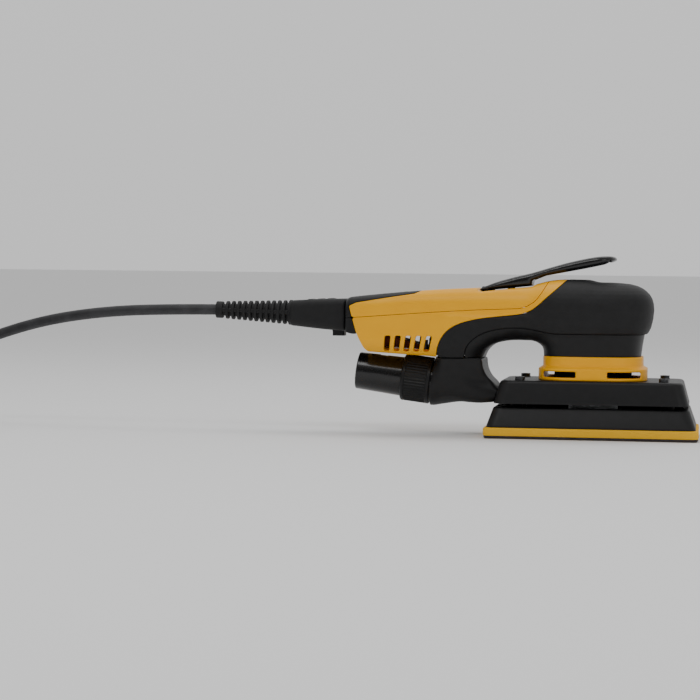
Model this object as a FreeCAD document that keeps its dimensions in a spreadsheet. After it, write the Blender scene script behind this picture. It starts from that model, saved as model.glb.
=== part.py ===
import FreeCAD, Part
import math
import os
import re

import Sketcher
from FreeCAD import Placement, Rotation, Vector

# Low-profile electric orbital sander with a rectangular pad and a detachable mains lead.
# +X points to the front of the pad, +Z up. The origin is where the spindle axis meets the
# sanding face. Lengths are millimetres, angles degrees.

DIMENSIONS = {
    # sanding pad, from the abrasive up
    "pad_length": 133.0, "pad_width": 81.0, "pad_corner": 4.0, "orbit_offset": 1.5,
    "net_top": 0.7, "hook_top": 1.6, "foam_top": 6.7, "plate_top": 19.2,
    "plate_inset": 1.7, "plate_taper": 20.5, "plate_floor": 11.0, "plate_wall": 4.4,
    "dust_hole_radius": 4.0, "leg_radius": 4.0, "leg_x": 47.0, "leg_y": 16.0,
    # skirt over the pad
    "skirt_low": 21.6, "skirt_top": 36.0, "skirt_half_x": 60.3, "skirt_half_y": 37.0,
    "skirt_top_half_x": 55.2, "skirt_top_half_y": 33.0, "skirt_corner": 7.0, "skirt_wall": 2.5,
    "screw_x": 44.5, "screw_y": 25.0, "screw_head_radius": 3.0, "screw_head_height": 2.2,
    # yellow ring under the head
    "ring_half_x": 31.2, "ring_half_y": 28.7, "ring_foot_half_x": 33.8, "ring_foot_half_y": 31.2,
    "ring_corner": 20.0, "ring_foot_top": 43.4, "ring_step_top": 45.0, "ring_top": 51.0,
    "ring_wall": 2.2, "window_low": 38.0, "window_height": 3.8, "window_near": 9.7,
    "window_far": 30.0,
    # drive line on the spindle axis
    "shaft_radius": 5.0, "journal_radius": 6.0, "journal_low": 13.4, "shaft_low": 24.6,
    "shaft_top": 90.0, "running_gap": 0.04, "bearing_radius": 13.0, "small_bearing_radius": 11.0,
    "pad_bearing_low": 13.8, "pad_bearing_top": 23.8, "low_bearing_low": 46.0,
    "low_bearing_top": 53.0, "top_bearing_low": 83.0, "top_bearing_top": 89.0,
    "weight_low": 26.0, "weight_top": 32.4, "weight_radius": 24.0,
    "fan_low": 37.4, "fan_disc_top": 38.6, "fan_top": 43.8, "fan_radius": 25.5, "fan_hub": 9.0,
    "stator_low": 60.0, "stator_top": 78.0, "stator_radius": 24.8, "yoke_radius": 21.4,
    "stator_bore": 15.3, "tooth_width": 4.6, "coil_side": 2.4, "coil_end": 3.0,
    "magnet_radius": 15.0, "core_radius": 12.6,
    # hose outlet: the axis leaves the duct rearwards and rises
    "outlet_x": -101.7, "outlet_z": 33.3, "outlet_tilt": 7.2, "duct_radius": 15.4,
    "pipe_bore": 10.0, "pipe_neck_radius": 12.5, "pipe_end_radius": 11.8, "pipe_length": 49.0,
    "pipe_insert": 7.0, "pipe_rim": 1.0, "collar_start": 1.0, "collar_end": 19.6,
    "collar_radius": 14.9, "collar_rib": 0.5, "collar_margin": 2.4, "collar_chamfer": 1.2,
    # shells
    "skin": 2.0, "liner": 4.0, "shell": 2.6, "neck_step": 1.0,
    # lever and buttons
    "lever_pin_x": -67.0, "lever_pin_z": 88.6, "lever_pin_radius": 1.5, "lever_half_width": 16.5,
    "lug_inner": 8.0, "lug_outer": 11.0, "well_half_width": 15.2,
    "button_radius": 4.2, "button_gap": 0.25, "button_depth": 3.0, "button_proud": 0.35,
    # detachable lead
    "plug_front": -157.2, "plug_rear": -193.5, "spigot_length": 13.0, "pin_radius": 1.2,
    "cord_radius": 3.45, "relief_rear_x": -243.0, "relief_rear_z": 77.05, "relief_front_z": 75.8,
    "relief_rear_radius": 5.4, "relief_front_radius": 8.0, "relief_pitch": 3.75,
    "coil_x": -505.0, "coil_y": 0.0, "coil_inner": 23.8, "coil_outer": 52.2, "coil_height": 27.8,
    "mains_plug_x": -449.0, "mains_plug_y": -48.3, "mains_plug_radius": 18.8,
    "mains_pin_radius": 2.4, "mains_pin_length": 18.5, "mains_pin_spacing": 19.0,
}

doc = FreeCAD.newDocument("orbital_sander")
sheet = doc.addObject("Spreadsheet::Sheet", "dims")
for row, (alias, number) in enumerate(DIMENSIONS.items(), start=1):
    sheet.set("A%d" % row, alias)
    sheet.set("B%d" % row, str(number))
    sheet.setAlias("B%d" % row, alias)
doc.recompute()

NODES = []


# ---------------------------------------------------------------- helpers

def size(alias):
    """A driving dimension as a plain number."""
    return float(sheet.get(alias))


def bound(text):
    """An expression in sheet aliases, written for setExpression."""
    return re.sub(r"\b(%s)\b" % "|".join(DIMENSIONS), r"dims.\1", str(text))


def node(item, label):
    """Register a document object as a sub-part."""
    item.Label = label
    NODES.append(item)
    return item


def feature(label, shape):
    """A sub-part whose shape comes from Part's own functions."""
    item = doc.addObject("Part::Feature", label)
    item.Shape = shape
    return node(item, label)


def sketch_on(body, role, name):
    """An empty sketch on one of a body's own origin planes."""
    plane = [entry for entry in body.Origin.OriginFeatures if entry.Role == role][0]
    sketch = body.newObject("Sketcher::SketchObject", name)
    sketch.AttachmentSupport = [(plane, "")]
    sketch.MapMode = "FlatFace"
    return sketch


def add_polygon(sketch, outline):
    """A closed outline whose corners are tied to expressions."""
    count = len(outline)
    for index in range(count):
        start = Vector(float(index), 0.1 * index * index, 0)
        end_index = (index + 1) % count
        end = Vector(float(end_index), 0.1 * end_index * end_index, 0)
        sketch.addGeometry(Part.LineSegment(start, end))
    for index in range(count):
        sketch.addConstraint(Sketcher.Constraint("Coincident", index, 2, (index + 1) % count, 1))
    for index, corner in enumerate(outline):
        for kind, text in zip(("DistanceX", "DistanceY"), corner):
            number = sketch.addConstraint(Sketcher.Constraint(kind, -1, 1, index, 1, 1.0))
            sketch.setExpression("Constraints[%d]" % number, bound(text))


def turned(label, outline, register=True):
    """A body revolved about +Z from (radius, height) corners."""
    body = doc.addObject("PartDesign::Body", label)
    sketch = sketch_on(body, "XZ_Plane", label + "_profile")
    add_polygon(sketch, outline)
    turn = body.newObject("PartDesign::Revolution", label + "_turn")
    turn.Profile = sketch
    turn.ReferenceAxis = (sketch, ["V_Axis"])
    turn.Angle = 360
    if register:
        node(body, label)
    return body


def bushing(label, inner, outer, low, top, register=True):
    """A plain ring on the spindle axis."""
    outline = [(inner, low), (outer, low), (outer, top), (inner, top)]
    return turned(label, outline, register)


def cylinder(name, radius, height, place=None):
    item = doc.addObject("Part::Cylinder", name)
    item.setExpression("Radius", bound(radius))
    item.setExpression("Height", bound(height))
    if place is not None:
        item.Placement = place
    return item


def box(name, low, high):
    """A box between two corners given as expressions."""
    item = doc.addObject("Part::Box", name)
    for axis, side, start, end in zip("xyz", ("Length", "Width", "Height"), low, high):
        item.setExpression(side, bound("(%s) - (%s)" % (end, start)))
        item.setExpression("Placement.Base.%s" % axis, bound(start))
    return item


def combined(kind, name, items):
    """A MultiFuse or MultiCommon of document objects."""
    item = doc.addObject("Part::" + kind, name)
    item.Shapes = items
    return item


def cut(name, base, tool):
    item = doc.addObject("Part::Cut", name)
    item.Base = base
    item.Tool = tool
    return item


def at(x, y, z, tilt=0.0, axis=Vector(0, 1, 0)):
    return Placement(Vector(x, y, z), Rotation(axis, tilt))


def rounded_wire(half_u, half_v, corner, place):
    """A rounded rectangle in the XY plane, moved by place."""
    corner = min(corner, half_u - 0.05, half_v - 0.05)
    edges = []
    for turn in range(4):
        quarter = Rotation(Vector(0, 0, 1), 90 * turn)
        reach_u, reach_v = (half_u, half_v) if turn % 2 == 0 else (half_v, half_u)
        start = quarter.multVec(Vector(reach_u, -(reach_v - corner), 0))
        stop = quarter.multVec(Vector(reach_u, reach_v - corner, 0))
        centre = quarter.multVec(Vector(reach_u - corner, reach_v - corner, 0))
        end = quarter.multVec(Vector(reach_u - corner, reach_v, 0))
        middle = centre + quarter.multVec(Vector(corner, corner, 0)) * math.sqrt(0.5)
        edges.append(Part.makeLine(start, stop))
        edges.append(Part.Arc(stop, middle, end).toShape())
    wire = Part.Wire(edges)
    wire.Placement = place
    return wire


def level_section(z, half_x, half_y, corner, x=0.0, y=0.0):
    """A rounded rectangle in a horizontal plane."""
    return rounded_wire(half_x, half_y, corner, at(x, y, z))


def cross_section(x, half_width, low, high, corner):
    """A rounded rectangle across the X axis."""
    turn = Rotation(Vector(0, 1, 0), 90)
    place = Placement(Vector(x, 0, (low + high) / 2), turn)
    return rounded_wire((high - low) / 2, half_width, corner, place)


def loft(sections, ruled=False):
    return Part.makeLoft(sections, True, ruled)


def slab(length, width, low, top, corner, x=0.0, y=0.0, shrink=0.0):
    """A rounded block, narrower by shrink on every side at its top."""
    bottom = level_section(low, length / 2, width / 2, corner, x, y)
    upper = level_section(top, length / 2 - shrink, width / 2 - shrink, corner, x, y)
    return loft([bottom, upper], True)


def rod(start, end, radius):
    direction = end - start
    return Part.makeCylinder(radius, direction.Length, start, direction)


def block(low, high):
    span = Vector(*high) - Vector(*low)
    return Part.makeBox(span.x, span.y, span.z, Vector(*low))


def side_prism(outline, smooth_to=None, reach=70.0):
    """A through-Y prism from (x, z) points; the first smooth_to points lie on one curve."""
    points = [Vector(x, -reach, z) for x, z in outline]
    edges = []
    if smooth_to:
        curve = Part.BSplineCurve()
        curve.interpolate(points[:smooth_to])
        edges.append(curve.toShape())
        points = points[smooth_to - 1:] + points[:1]
    else:
        points = points + points[:1]
    for start, end in zip(points, points[1:]):
        edges.append(Part.makeLine(start, end))
    return Part.Face(Part.Wire(edges)).extrude(Vector(0, 2 * reach, 0))


def repeated(shape, count, centre=Vector(0, 0, 0), axis=Vector(0, 0, 1)):
    """Copies of a shape turned evenly about an axis."""
    copies = []
    for index in range(count):
        copy = shape.copy()
        copy.rotate(centre, axis, 360.0 * index / count)
        copies.append(copy)
    return copies


# ---------------------------------------------------------------- outer form

# Cross-sections of the handle: x, half width, underside, top, corner radius.
HANDLE = [
    (-156.3, 21.0, 52.6, 86.1, 7.0), (-140.0, 25.0, 51.9, 88.0, 8.0),
    (-120.0, 26.4, 50.8, 90.0, 8.0), (-98.0, 26.2, 49.6, 91.7, 9.0),
    (-74.0, 25.0, 49.2, 93.0, 10.0), (-56.0, 24.4, 49.2, 93.9, 11.0),
    (-38.0, 24.8, 49.2, 94.6, 12.0), (-22.0, 26.0, 51.5, 95.4, 12.0),
    (-6.0, 26.0, 51.5, 94.6, 12.0),
]
# Level sections of the neck and of the domed head: z, half length, half width.
NECK = [(51.0, 31.1, 28.5), (59.0, 32.0, 29.4), (64.3, 33.2, 30.6)]
HEAD = [
    (64.3, 33.9, 31.3), (65.7, 35.0, 32.4), (69.0, 36.3, 33.6), (75.0, 37.3, 34.6), (82.0, 37.6, 34.8),
    (87.3, 36.4, 33.6), (92.1, 32.8, 30.2), (95.5, 27.5, 25.2), (97.2, 21.0, 19.0),
]
# The column that joins the handle to the duct: z, centre x, half length, half width.
STRUT = [(49.1, -83.5, 15.0, 22.5), (56.0, -82.0, 16.5, 23.0), (64.0, -78.0, 20.0, 23.2)]

# Lines on the side of the body, as (x, z).
GRIP_LINE = [
    (-97.8, 48.0), (-96.9, 54.2), (-95.3, 59.2), (-92.4, 64.0), (-88.2, 67.8), (-82.0, 70.9),
    (-71.2, 73.7), (-57.0, 75.5), (-46.0, 76.8), (-39.5, 78.8), (-34.2, 82.2), (-27.8, 88.0),
    (-20.8, 94.2), (-15.5, 99.5),
]
SEAM_LINE = [
    (-79.5, 48.0), (-79.2, 53.0), (-77.6, 57.0), (-74.0, 61.0), (-67.8, 64.7), (-60.6, 66.9),
    (-52.0, 68.1), (-44.0, 68.1), (-36.0, 67.1), (-28.5, 65.6), (-22.0, 65.0),
]
PARTING_LINE = [
    (-160.0, 72.8), (-129.0, 75.3), (-100.0, 77.5), (-72.0, 79.3), (-52.0, 80.2), (-43.5, 81.0),
    (-36.7, 84.5), (-32.2, 89.6), (-27.6, 98.0),
]
YELLOW_REAR = [
    (-140.9, 51.0), (-143.4, 53.8), (-145.2, 57.0), (-148.6, 63.9), (-151.4, 72.9),
    (-153.7, 80.9),
]
PANEL_LINE = [(-153.7, 80.9), (-148.8, 83.1), (-129.2, 86.4), (-111.6, 89.2), (-104.0, 93.5)]
OPENING = [
    (-31.6, 47.0), (-31.9, 54.4), (-33.6, 57.3), (-36.9, 59.1), (-42.0, 59.8), (-50.7, 59.7),
    (-57.8, 58.3), (-63.1, 56.2), (-67.0, 52.4), (-68.6, 48.0), (-68.0, 42.5), (-65.5, 37.5),
    (-61.8, 33.8),
]


def envelope(inset):
    """The closed outer form of handle, head, neck and strut, shrunk by inset."""
    handle = loft([
        cross_section(x + (inset if index == 0 else 0.0), wide - inset, low + inset,
                      high - inset, corner - 0.5 * inset)
        for index, (x, wide, low, high, corner) in enumerate(HANDLE)], True)
    neck = loft([level_section(z, along - inset, across - inset, 20.0 - inset)
                 for z, along, across in NECK], True)
    seam, crown = HEAD[0][0], HEAD[-1][0]
    head = loft([level_section(z - inset * (z - seam) / (crown - seam), along - inset,
                               across - inset, min(24.0, across) - inset)
                 for z, along, across in HEAD], True)
    strut = loft([level_section(z, along - inset, across - inset, 9.0, x)
                  for z, x, along, across in STRUT], True)
    return handle.fuse([neck, head, strut])


def build_shells():
    """Yellow shells, black panel and frame, rubber grip and the motor housing."""
    outer = envelope(0.0)
    below_skin = envelope(size("skin"))
    below_step = envelope(size("neck_step"))
    hollow = envelope(size("liner"))
    shell_hollow = envelope(size("shell"))
    opening = side_prism(OPENING + [(-56.0, 20.0), (-31.6, 20.0)], len(OPENING))
    grown = [(x + 2.4 * math.cos(turn), z + 2.4 * math.sin(turn)) for x, z, turn in (
        (-31.6, 45.0, 0.0), (-31.9, 54.4, 0.2), (-36.9, 59.1, 1.2), (-42.0, 59.8, 1.57),
        (-50.7, 59.7, 1.6), (-57.8, 58.3, 1.85), (-63.1, 56.2, 2.1), (-67.0, 52.4, 2.6),
        (-68.6, 48.0, 3.14), (-68.0, 42.5, 3.3))]
    lined = side_prism(grown + [(-66.0, 20.0), (-29.0, 20.0)], len(grown))

    right_of_grip = side_prism(GRIP_LINE + [(60.0, 99.5), (60.0, 40.0), (-97.8, 40.0)],
                               len(GRIP_LINE))
    above_seam = side_prism(SEAM_LINE + [(60.0, 65.0), (60.0, 120.0), (-150.0, 120.0),
                                         (-150.0, 48.0)], len(SEAM_LINE))
    above_parting = side_prism(PARTING_LINE + [(-27.6, 120.0), (-160.0, 120.0)],
                               len(PARTING_LINE))
    behind_yellow = side_prism(YELLOW_REAR + [(-170.0, 80.9), (-170.0, 51.0)], len(YELLOW_REAR))
    above_panel = side_prism(PANEL_LINE + [(-104.0, 120.0), (-170.0, 120.0), (-170.0, 80.9)],
                             len(PANEL_LINE))
    above_floor = block((-170.0, -70.0, 49.1), (-30.0, 70.0, 120.0)).fuse(
        block((-30.0, -70.0, size("ring_top")), (60.0, 70.0, 120.0)))

    # Yellow clamshell
    under_panel = block((-170.0, -18.0, 80.0), (-112.0, 18.0, 100.0))
    yellow = outer.cut(shell_hollow).cut([right_of_grip, behind_yellow, above_panel])
    yellow = yellow.cut(under_panel)
    lower = yellow.cut(above_parting)
    upper = yellow.common(above_parting)
    slots = vent_slots()
    lower = lower.cut(slots)
    screw_holes = [rod(Vector(x, y, 45.0), Vector(x, y, 60.0), 1.6) for x, y in SHELL_SCREWS]
    posts = [rod(Vector(x, y, 51.5), Vector(x, y, 60.0), 3.4) for x, y in SHELL_SCREWS]
    lower = lower.fuse(posts).cut(screw_holes)
    feature("lower_housing", single(lower))
    feature("top_cover", single(cover_with_lever_well(upper)))

    # Black panel with the buttons, and the frame of the power inlet
    rear = outer.cut(right_of_grip).common(above_panel.fuse(behind_yellow))
    rear_wall = block((-157.0, -30.0, 60.0), (-152.0, 30.0, 90.0))
    inlet_hole = block((-158.0, -12.0, 66.0), (-136.0, 12.0, 83.0))
    shell_hollow_rear = shell_hollow.cut(rear_wall)
    panel = rear.common(above_parting).cut([shell_hollow_rear, inlet_hole])
    for x, y in BUTTONS.values():
        panel = panel.cut(button_shape(x, y, size("button_radius") + size("button_gap"), 8.0))
    panel = panel.cut(button_shape(LIGHT_X, 0.0, 1.2, 8.0))
    feature("control_panel", single(panel))
    frame_bottom = side_prism([(-160.0, 64.9), (-151.6, 63.1), (-100.0, 63.1), (-100.0, 40.0),
                               (-160.0, 40.0)])
    frame = rear.cut([above_parting, frame_bottom, inlet_hole])
    feature("inlet_frame", single(frame))

    # Rubber grip over the hard housing
    grip = outer.cut(below_skin).common(right_of_grip).common(above_seam)
    grip = grip.common(above_floor).cut(opening)
    feature("soft_grip", single(grip))
    hard = below_step.cut(above_seam).common(right_of_grip)
    core = below_skin.common(right_of_grip).common(above_seam)
    room = hollow.cut(lined)
    housing = hard.fuse(core).common(above_floor).cut([opening, room])
    housing = housing.fuse(bearing_boss())
    feature("motor_housing", single(housing))


def single(shape):
    """The largest solid of a shape, when a cut leaves slivers beside it."""
    return max(shape.Solids, key=lambda solid: solid.Volume)


SHELL_SCREWS = [(-136.0, -15.0), (-136.0, 15.0), (-105.0, -17.0), (-105.0, 17.0)]
BUTTONS = {"power_button": (-146.0, 0.0), "minus_button": (-132.0, -8.5),
           "plus_button": (-132.0, 8.5)}
LIGHT_X = -120.0
PANEL_SLOPE = 5.7


def panel_height(x):
    """Height of the top surface above a place on the panel."""
    return 86.1 + (x + 156.3) * (90.0 - 86.1) / (156.3 - 120.0)


def button_shape(x, y, radius, depth, proud=0.0):
    """A round plug square to the sloping panel, sunk by depth."""
    turn = Rotation(Vector(0, 1, 0), -PANEL_SLOPE)
    up = turn.multVec(Vector(0, 0, 1))
    top = Vector(x, y, panel_height(x)) + up * (proud + (0.0 if proud else 3.0))
    return rod(top - up * (depth + (proud if proud else 3.0)), top, radius)


def vent_slots():
    """Five leaning slots through both side walls of the lower housing."""
    slots = []
    for index in range(5):
        foot = -129.0 + 6.3 * index
        slot = loft([level_section(52.6, 1.7, 40.0, 0.6, foot),
                     level_section(62.4, 1.7, 40.0, 0.6, foot + 1.0 + 0.25 * index)], True)
        slots.append(slot)
    return slots


def cover_with_lever_well(cover):
    """The top cover with its sunk lever seat, well and pin lugs."""
    seat = side_prism([(-73.6, 99.0), (-72.9, 91.6), (-71.0, 90.7), (-38.0, 94.4), (-36.0, 110.0)])
    half = size("well_half_width")
    well = block((-72.0, -half, 80.0), (-34.0, half, 100.0))
    cover = cover.cut([seat, well])
    pin_x, pin_z = size("lever_pin_x"), size("lever_pin_z")
    for side in (-1, 1):
        lug = block((pin_x - 4.0, min(side * half, side * (half + 4.0)), pin_z - 3.5),
                    (pin_x + 4.0, max(side * half, side * (half + 4.0)), 91.0))
        cover = cover.fuse(lug)
    cover = cover.cut(seat)
    return cover.cut(rod(Vector(pin_x, -30, pin_z), Vector(pin_x, 30, pin_z),
                         size("lever_pin_radius")).common(
        block((-100, -half - 3.0, 70), (-50, half + 3.0, 100))))


def bearing_boss():
    """The cup under the dome that holds the upper bearing."""
    radius = size("small_bearing_radius")
    low, top = size("top_bearing_low"), size("top_bearing_top")
    cup = rod(Vector(0, 0, low), Vector(0, 0, 94.5), radius + 2.5)
    cup = cup.cut(rod(Vector(0, 0, low), Vector(0, 0, top), radius))
    return cup.cut(rod(Vector(0, 0, low), Vector(0, 0, 91.5), radius - 3.0))


# ---------------------------------------------------------------- duct and hose outlet

def build_duct():
    """The dust duct from the skirt to the swivel seat, and the strut's foot on top of it."""
    tilt = Rotation(Vector(0, 1, 0), -90 + size("outlet_tilt"))
    seat = Vector(size("outlet_x"), 0, size("outlet_z"))
    radius = size("duct_radius")

    def tube(wall):
        mouth = rounded_wire(radius - wall, radius - wall, radius - wall, Placement(seat, tilt))
        return loft([
            mouth,
            cross_section(-84.0, 18.5 - wall, 20.9 + wall, 42.0 - wall, 9.0 - wall / 2),
            cross_section(-70.0, 19.5 - wall, 20.6 + wall, 33.5 - wall, 5.5 - wall / 2),
            cross_section(-55.2, 20.0 - wall, 22.6 + wall, 30.5 - wall, 3.5 - wall / 2)])

    foot = loft([
        level_section(34.0, 12.5, 16.0, 8.0, -84.0), level_section(42.0, 14.4, 20.5, 9.0, -83.8),
        level_section(49.1, 15.0, 22.5, 9.0, -83.5)])
    opening = side_prism(OPENING + [(-56.0, 33.0), (-31.6, 33.0)], len(OPENING))
    collar_seat = rod(seat, seat + tilt.multVec(Vector(0, 0, -6.0)), radius - 0.6)
    bore = rod(seat + tilt.multVec(Vector(0, 0, 1.0)), seat + tilt.multVec(Vector(0, 0, -9.0)),
               size("pipe_neck_radius") + size("running_gap"))
    body = tube(0.0).fuse([foot, collar_seat]).cut(opening)
    room = tube(2.6).cut(rod(seat, seat + tilt.multVec(Vector(0, 0, -9.0)), radius))
    front = block((-56.0, -40.0, 10.0), (-40.0, 40.0, 60.0))
    skirt_side = skirt_solid(0.0)
    duct = body.cut([room, bore]).cut([skirt_side, front])
    feature("exhaust_duct", single(duct))


def outlet_placement():
    """Local +Z runs out of the duct along the hose axis."""
    turn = Rotation(Vector(0, 1, 0), -90 + size("outlet_tilt"))
    return Placement(Vector(size("outlet_x"), 0, size("outlet_z")), turn)


def build_swivel():
    """The turning hose pipe and the ribbed collar on it."""
    pipe = turned("swivel_pipe", [
        ("pipe_bore", "-pipe_insert"), ("pipe_neck_radius", "-pipe_insert"),
        ("pipe_neck_radius", "collar_end"), ("pipe_end_radius", "pipe_length - pipe_rim"),
        ("pipe_end_radius - pipe_rim", "pipe_length"), ("pipe_bore", "pipe_length")])
    pipe.Placement = outlet_placement()

    body = turned("swivel_collar", [
        ("pipe_neck_radius", "collar_start"), ("collar_radius", "collar_start"),
        ("collar_radius", "collar_start + collar_margin"),
        ("collar_radius - collar_rib", "collar_start + collar_margin"),
        ("collar_radius - collar_rib", "collar_end - collar_margin"),
        ("collar_radius", "collar_end - collar_margin"),
        ("collar_radius", "collar_end - collar_chamfer"),
        ("collar_radius - collar_chamfer", "collar_end"), ("pipe_neck_radius", "collar_end")])
    rib_sketch = sketch_on(body, "XY_Plane", "rib_profile")
    rib_sketch.AttachmentOffset = Placement(
        Vector(0, 0, size("collar_start") + size("collar_margin")), Rotation())
    add_polygon(rib_sketch, [
        ("collar_radius - 2 * collar_rib", "-0.6"), ("collar_radius", "-0.45"),
        ("collar_radius", "0.45"), ("collar_radius - 2 * collar_rib", "0.6")])
    rib = body.newObject("PartDesign::Pad", "rib")
    rib.Profile = rib_sketch
    rib.setExpression("Length", bound("collar_end - collar_start - 2 * collar_margin"))
    doc.recompute()
    pattern = body.newObject("PartDesign::PolarPattern", "ribs")
    pattern.Originals = [rib]
    pattern.Axis = (rib_sketch, ["N_Axis"])
    pattern.Angle = 360
    pattern.Occurrences = 36
    body.Tip = pattern
    body.Placement = outlet_placement()


# ---------------------------------------------------------------- skirt, ring and pad

def skirt_solid(inset):
    low, top = size("skirt_low"), size("skirt_top")
    corner = size("skirt_corner")
    return loft([
        level_section(low - (0.01 if inset else 0.0), size("skirt_half_x") - inset,
                      size("skirt_half_y") - inset, corner),
        level_section(top - inset, size("skirt_top_half_x") - inset,
                      size("skirt_top_half_y") - inset, corner)], True)


def four_corners(x, y):
    return [(side_x * x, side_y * y) for side_x in (-1, 1) for side_y in (-1, 1)]


def build_skirt():
    """The fixed skirt over the pad, its screws and the yellow vent ring."""
    wall = size("skirt_wall")
    top = size("skirt_top")
    skirt = skirt_solid(0.0).cut(skirt_solid(wall))
    skirt = skirt.cut(rod(Vector(0, 0, 30), Vector(0, 0, 40), 11.5))
    duct_hole = loft([cross_section(-66.0, 17.4, 25.0, 28.0, 1.4),
                      cross_section(-50.0, 17.4, 25.0, 28.0, 1.4)], True)
    skirt = skirt.cut(duct_hole)
    screws = []
    for x, y in four_corners(size("screw_x"), size("screw_y")):
        head = rod(Vector(x, y, top), Vector(x, y, top + size("screw_head_height")),
                   size("screw_head_radius"))
        socket = Part.makePolygon([
            Vector(x + 1.5 * math.cos(turn), y + 1.5 * math.sin(turn), top + 0.9)
            for turn in [math.radians(60 * step) for step in range(7)]])
        head = head.cut(Part.Face(socket).extrude(Vector(0, 0, 3)))
        shank = rod(Vector(x, y, top - 6.0), Vector(x, y, top), 1.5)
        post = rod(Vector(x, y, top - 8.5), Vector(x, y, top - 1.0), 3.2)
        skirt = skirt.fuse(post).cut(shank)
        screws.append(head.fuse(shank))
    feature("skirt", single(skirt))
    feature("skirt_screws", Part.makeCompound(screws))

    low = top
    foot_x, foot_y = size("ring_foot_half_x"), size("ring_foot_half_y")
    ring_x, ring_y = size("ring_half_x"), size("ring_half_y")
    corner, wall = size("ring_corner"), size("ring_wall")
    foot = loft([level_section(low, foot_x, foot_y, corner),
                 level_section(size("ring_foot_top"), foot_x, foot_y, corner)], True)
    step = loft([level_section(size("ring_foot_top"), foot_x, foot_y, corner),
                 level_section(size("ring_step_top"), ring_x, ring_y, corner)], True)
    band = loft([level_section(size("ring_step_top"), ring_x, ring_y, corner),
                 level_section(size("ring_top"), ring_x - 0.2, ring_y - 0.2, corner)], True)
    bore = loft([level_section(low - 1, ring_x - wall, ring_y - wall, corner - wall),
                 level_section(size("ring_top") + 1, ring_x - wall, ring_y - wall,
                               corner - wall)], True)
    ring = foot.fuse([step, band]).cut(bore)
    near, far = size("window_near"), size("window_far")
    window_low = size("window_low")
    window_top = window_low + size("window_height")
    for side in (-1, 1):
        low_x, high_x = sorted((side * near, side * far))
        ring = ring.cut(block((low_x, -50, window_low), (high_x, 50, window_top)))
    feature("vent_ring", ring)


def dust_holes(low, top):
    """The holes that carry dust up through the pad."""
    spots = four_corners(32.0, 24.0) + four_corners(13.0, 28.0) + [(-51.0, 0.0), (51.0, 0.0)]
    offset = size("orbit_offset")
    radius = size("dust_hole_radius")
    return [rod(Vector(x, y + offset, low), Vector(x, y + offset, top), radius)
            for x, y in spots]


def build_pad():
    """The orbiting pad: net, hook layer, foam, backing plate, hub and screws."""
    offset = size("orbit_offset")
    length, width, corner = size("pad_length"), size("pad_width"), size("pad_corner")
    net_top, hook_top = size("net_top"), size("hook_top")
    foam_top, plate_top = size("foam_top"), size("plate_top")
    holes = dust_holes(-5, 15)

    feature("abrasive_net", slab(length - 1.6, width - 1.4, 0.0, net_top, 3.0, y=offset))
    hook = slab(length - 0.6, width - 0.6, net_top, hook_top, corner, y=offset)
    feature("hook_layer", hook.cut(holes))
    foam = slab(length, width, hook_top, foam_top, corner, y=offset)
    feature("pad_foam", foam.cut(holes))

    inset = size("plate_inset")
    shrink = (plate_top - foam_top) * math.tan(math.radians(size("plate_taper")))
    plate = slab(length - 2 * inset, width - 2 * inset + 1.4, foam_top, plate_top, 6.0,
                 y=offset, shrink=shrink)
    wall = size("plate_wall")
    floor = size("plate_floor")
    room = slab(length - 2 * inset - 2 * shrink - 2 * wall + 3.0,
                width - 2 * inset - 2 * shrink - 2 * wall + 3.0, floor, plate_top + 1, 5.0,
                y=offset)
    plate = plate.cut(room).cut(holes)

    hub = turned("pad_hub_blank", [
        ("bearing_radius - 3", "plate_floor"), ("22", "plate_floor"), ("22", "plate_floor + 2.6"),
        ("bearing_radius + 2.6", "plate_floor + 2.6"), ("bearing_radius + 2.6", "pad_bearing_top"),
        ("bearing_radius", "pad_bearing_top"), ("bearing_radius", "pad_bearing_low"),
        ("bearing_radius - 3", "pad_bearing_low")], register=False)
    hub.setExpression("Placement.Base.y", bound("orbit_offset"))
    bearing = bushing("pad_bearing", "journal_radius + running_gap", "bearing_radius",
                      "pad_bearing_low", "pad_bearing_top")
    bearing.setExpression("Placement.Base.y", bound("orbit_offset"))
    doc.recompute()

    screws = []
    shanks = []
    for x, y in four_corners(13.2, 13.2):
        foot = Vector(x, y + offset, floor - 3.0)
        seat = Vector(x, y + offset, floor + 2.6)
        shank = rod(foot, seat, 1.5)
        screws.append(shank.fuse(rod(seat, seat + Vector(0, 0, 1.8), 2.6)))
        shanks.append(shank)
    feature("pad_plate", single(plate.cut(shanks)))
    screw_tool = doc.addObject("Part::Feature", "hub_screw_holes")
    screw_tool.Shape = Part.makeCompound(screws)
    node(cut("hub_with_holes", hub, screw_tool), "pad_hub")
    feature("pad_screws", Part.makeCompound(screws))

    legs = []
    leg_x, leg_y = size("leg_x"), size("leg_y")
    for x, y in four_corners(leg_x, leg_y):
        circles = [(floor, y + offset), (22.0, y + offset * 0.5),
                   (size("skirt_top") - size("skirt_wall"), y)]
        leg = loft([Part.Wire(Part.makeCircle(size("leg_radius"), Vector(x, centre, z)))
                    for z, centre in circles], True)
        legs.append(leg)
    feature("flex_legs", Part.makeCompound(legs))


# ---------------------------------------------------------------- motor

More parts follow.
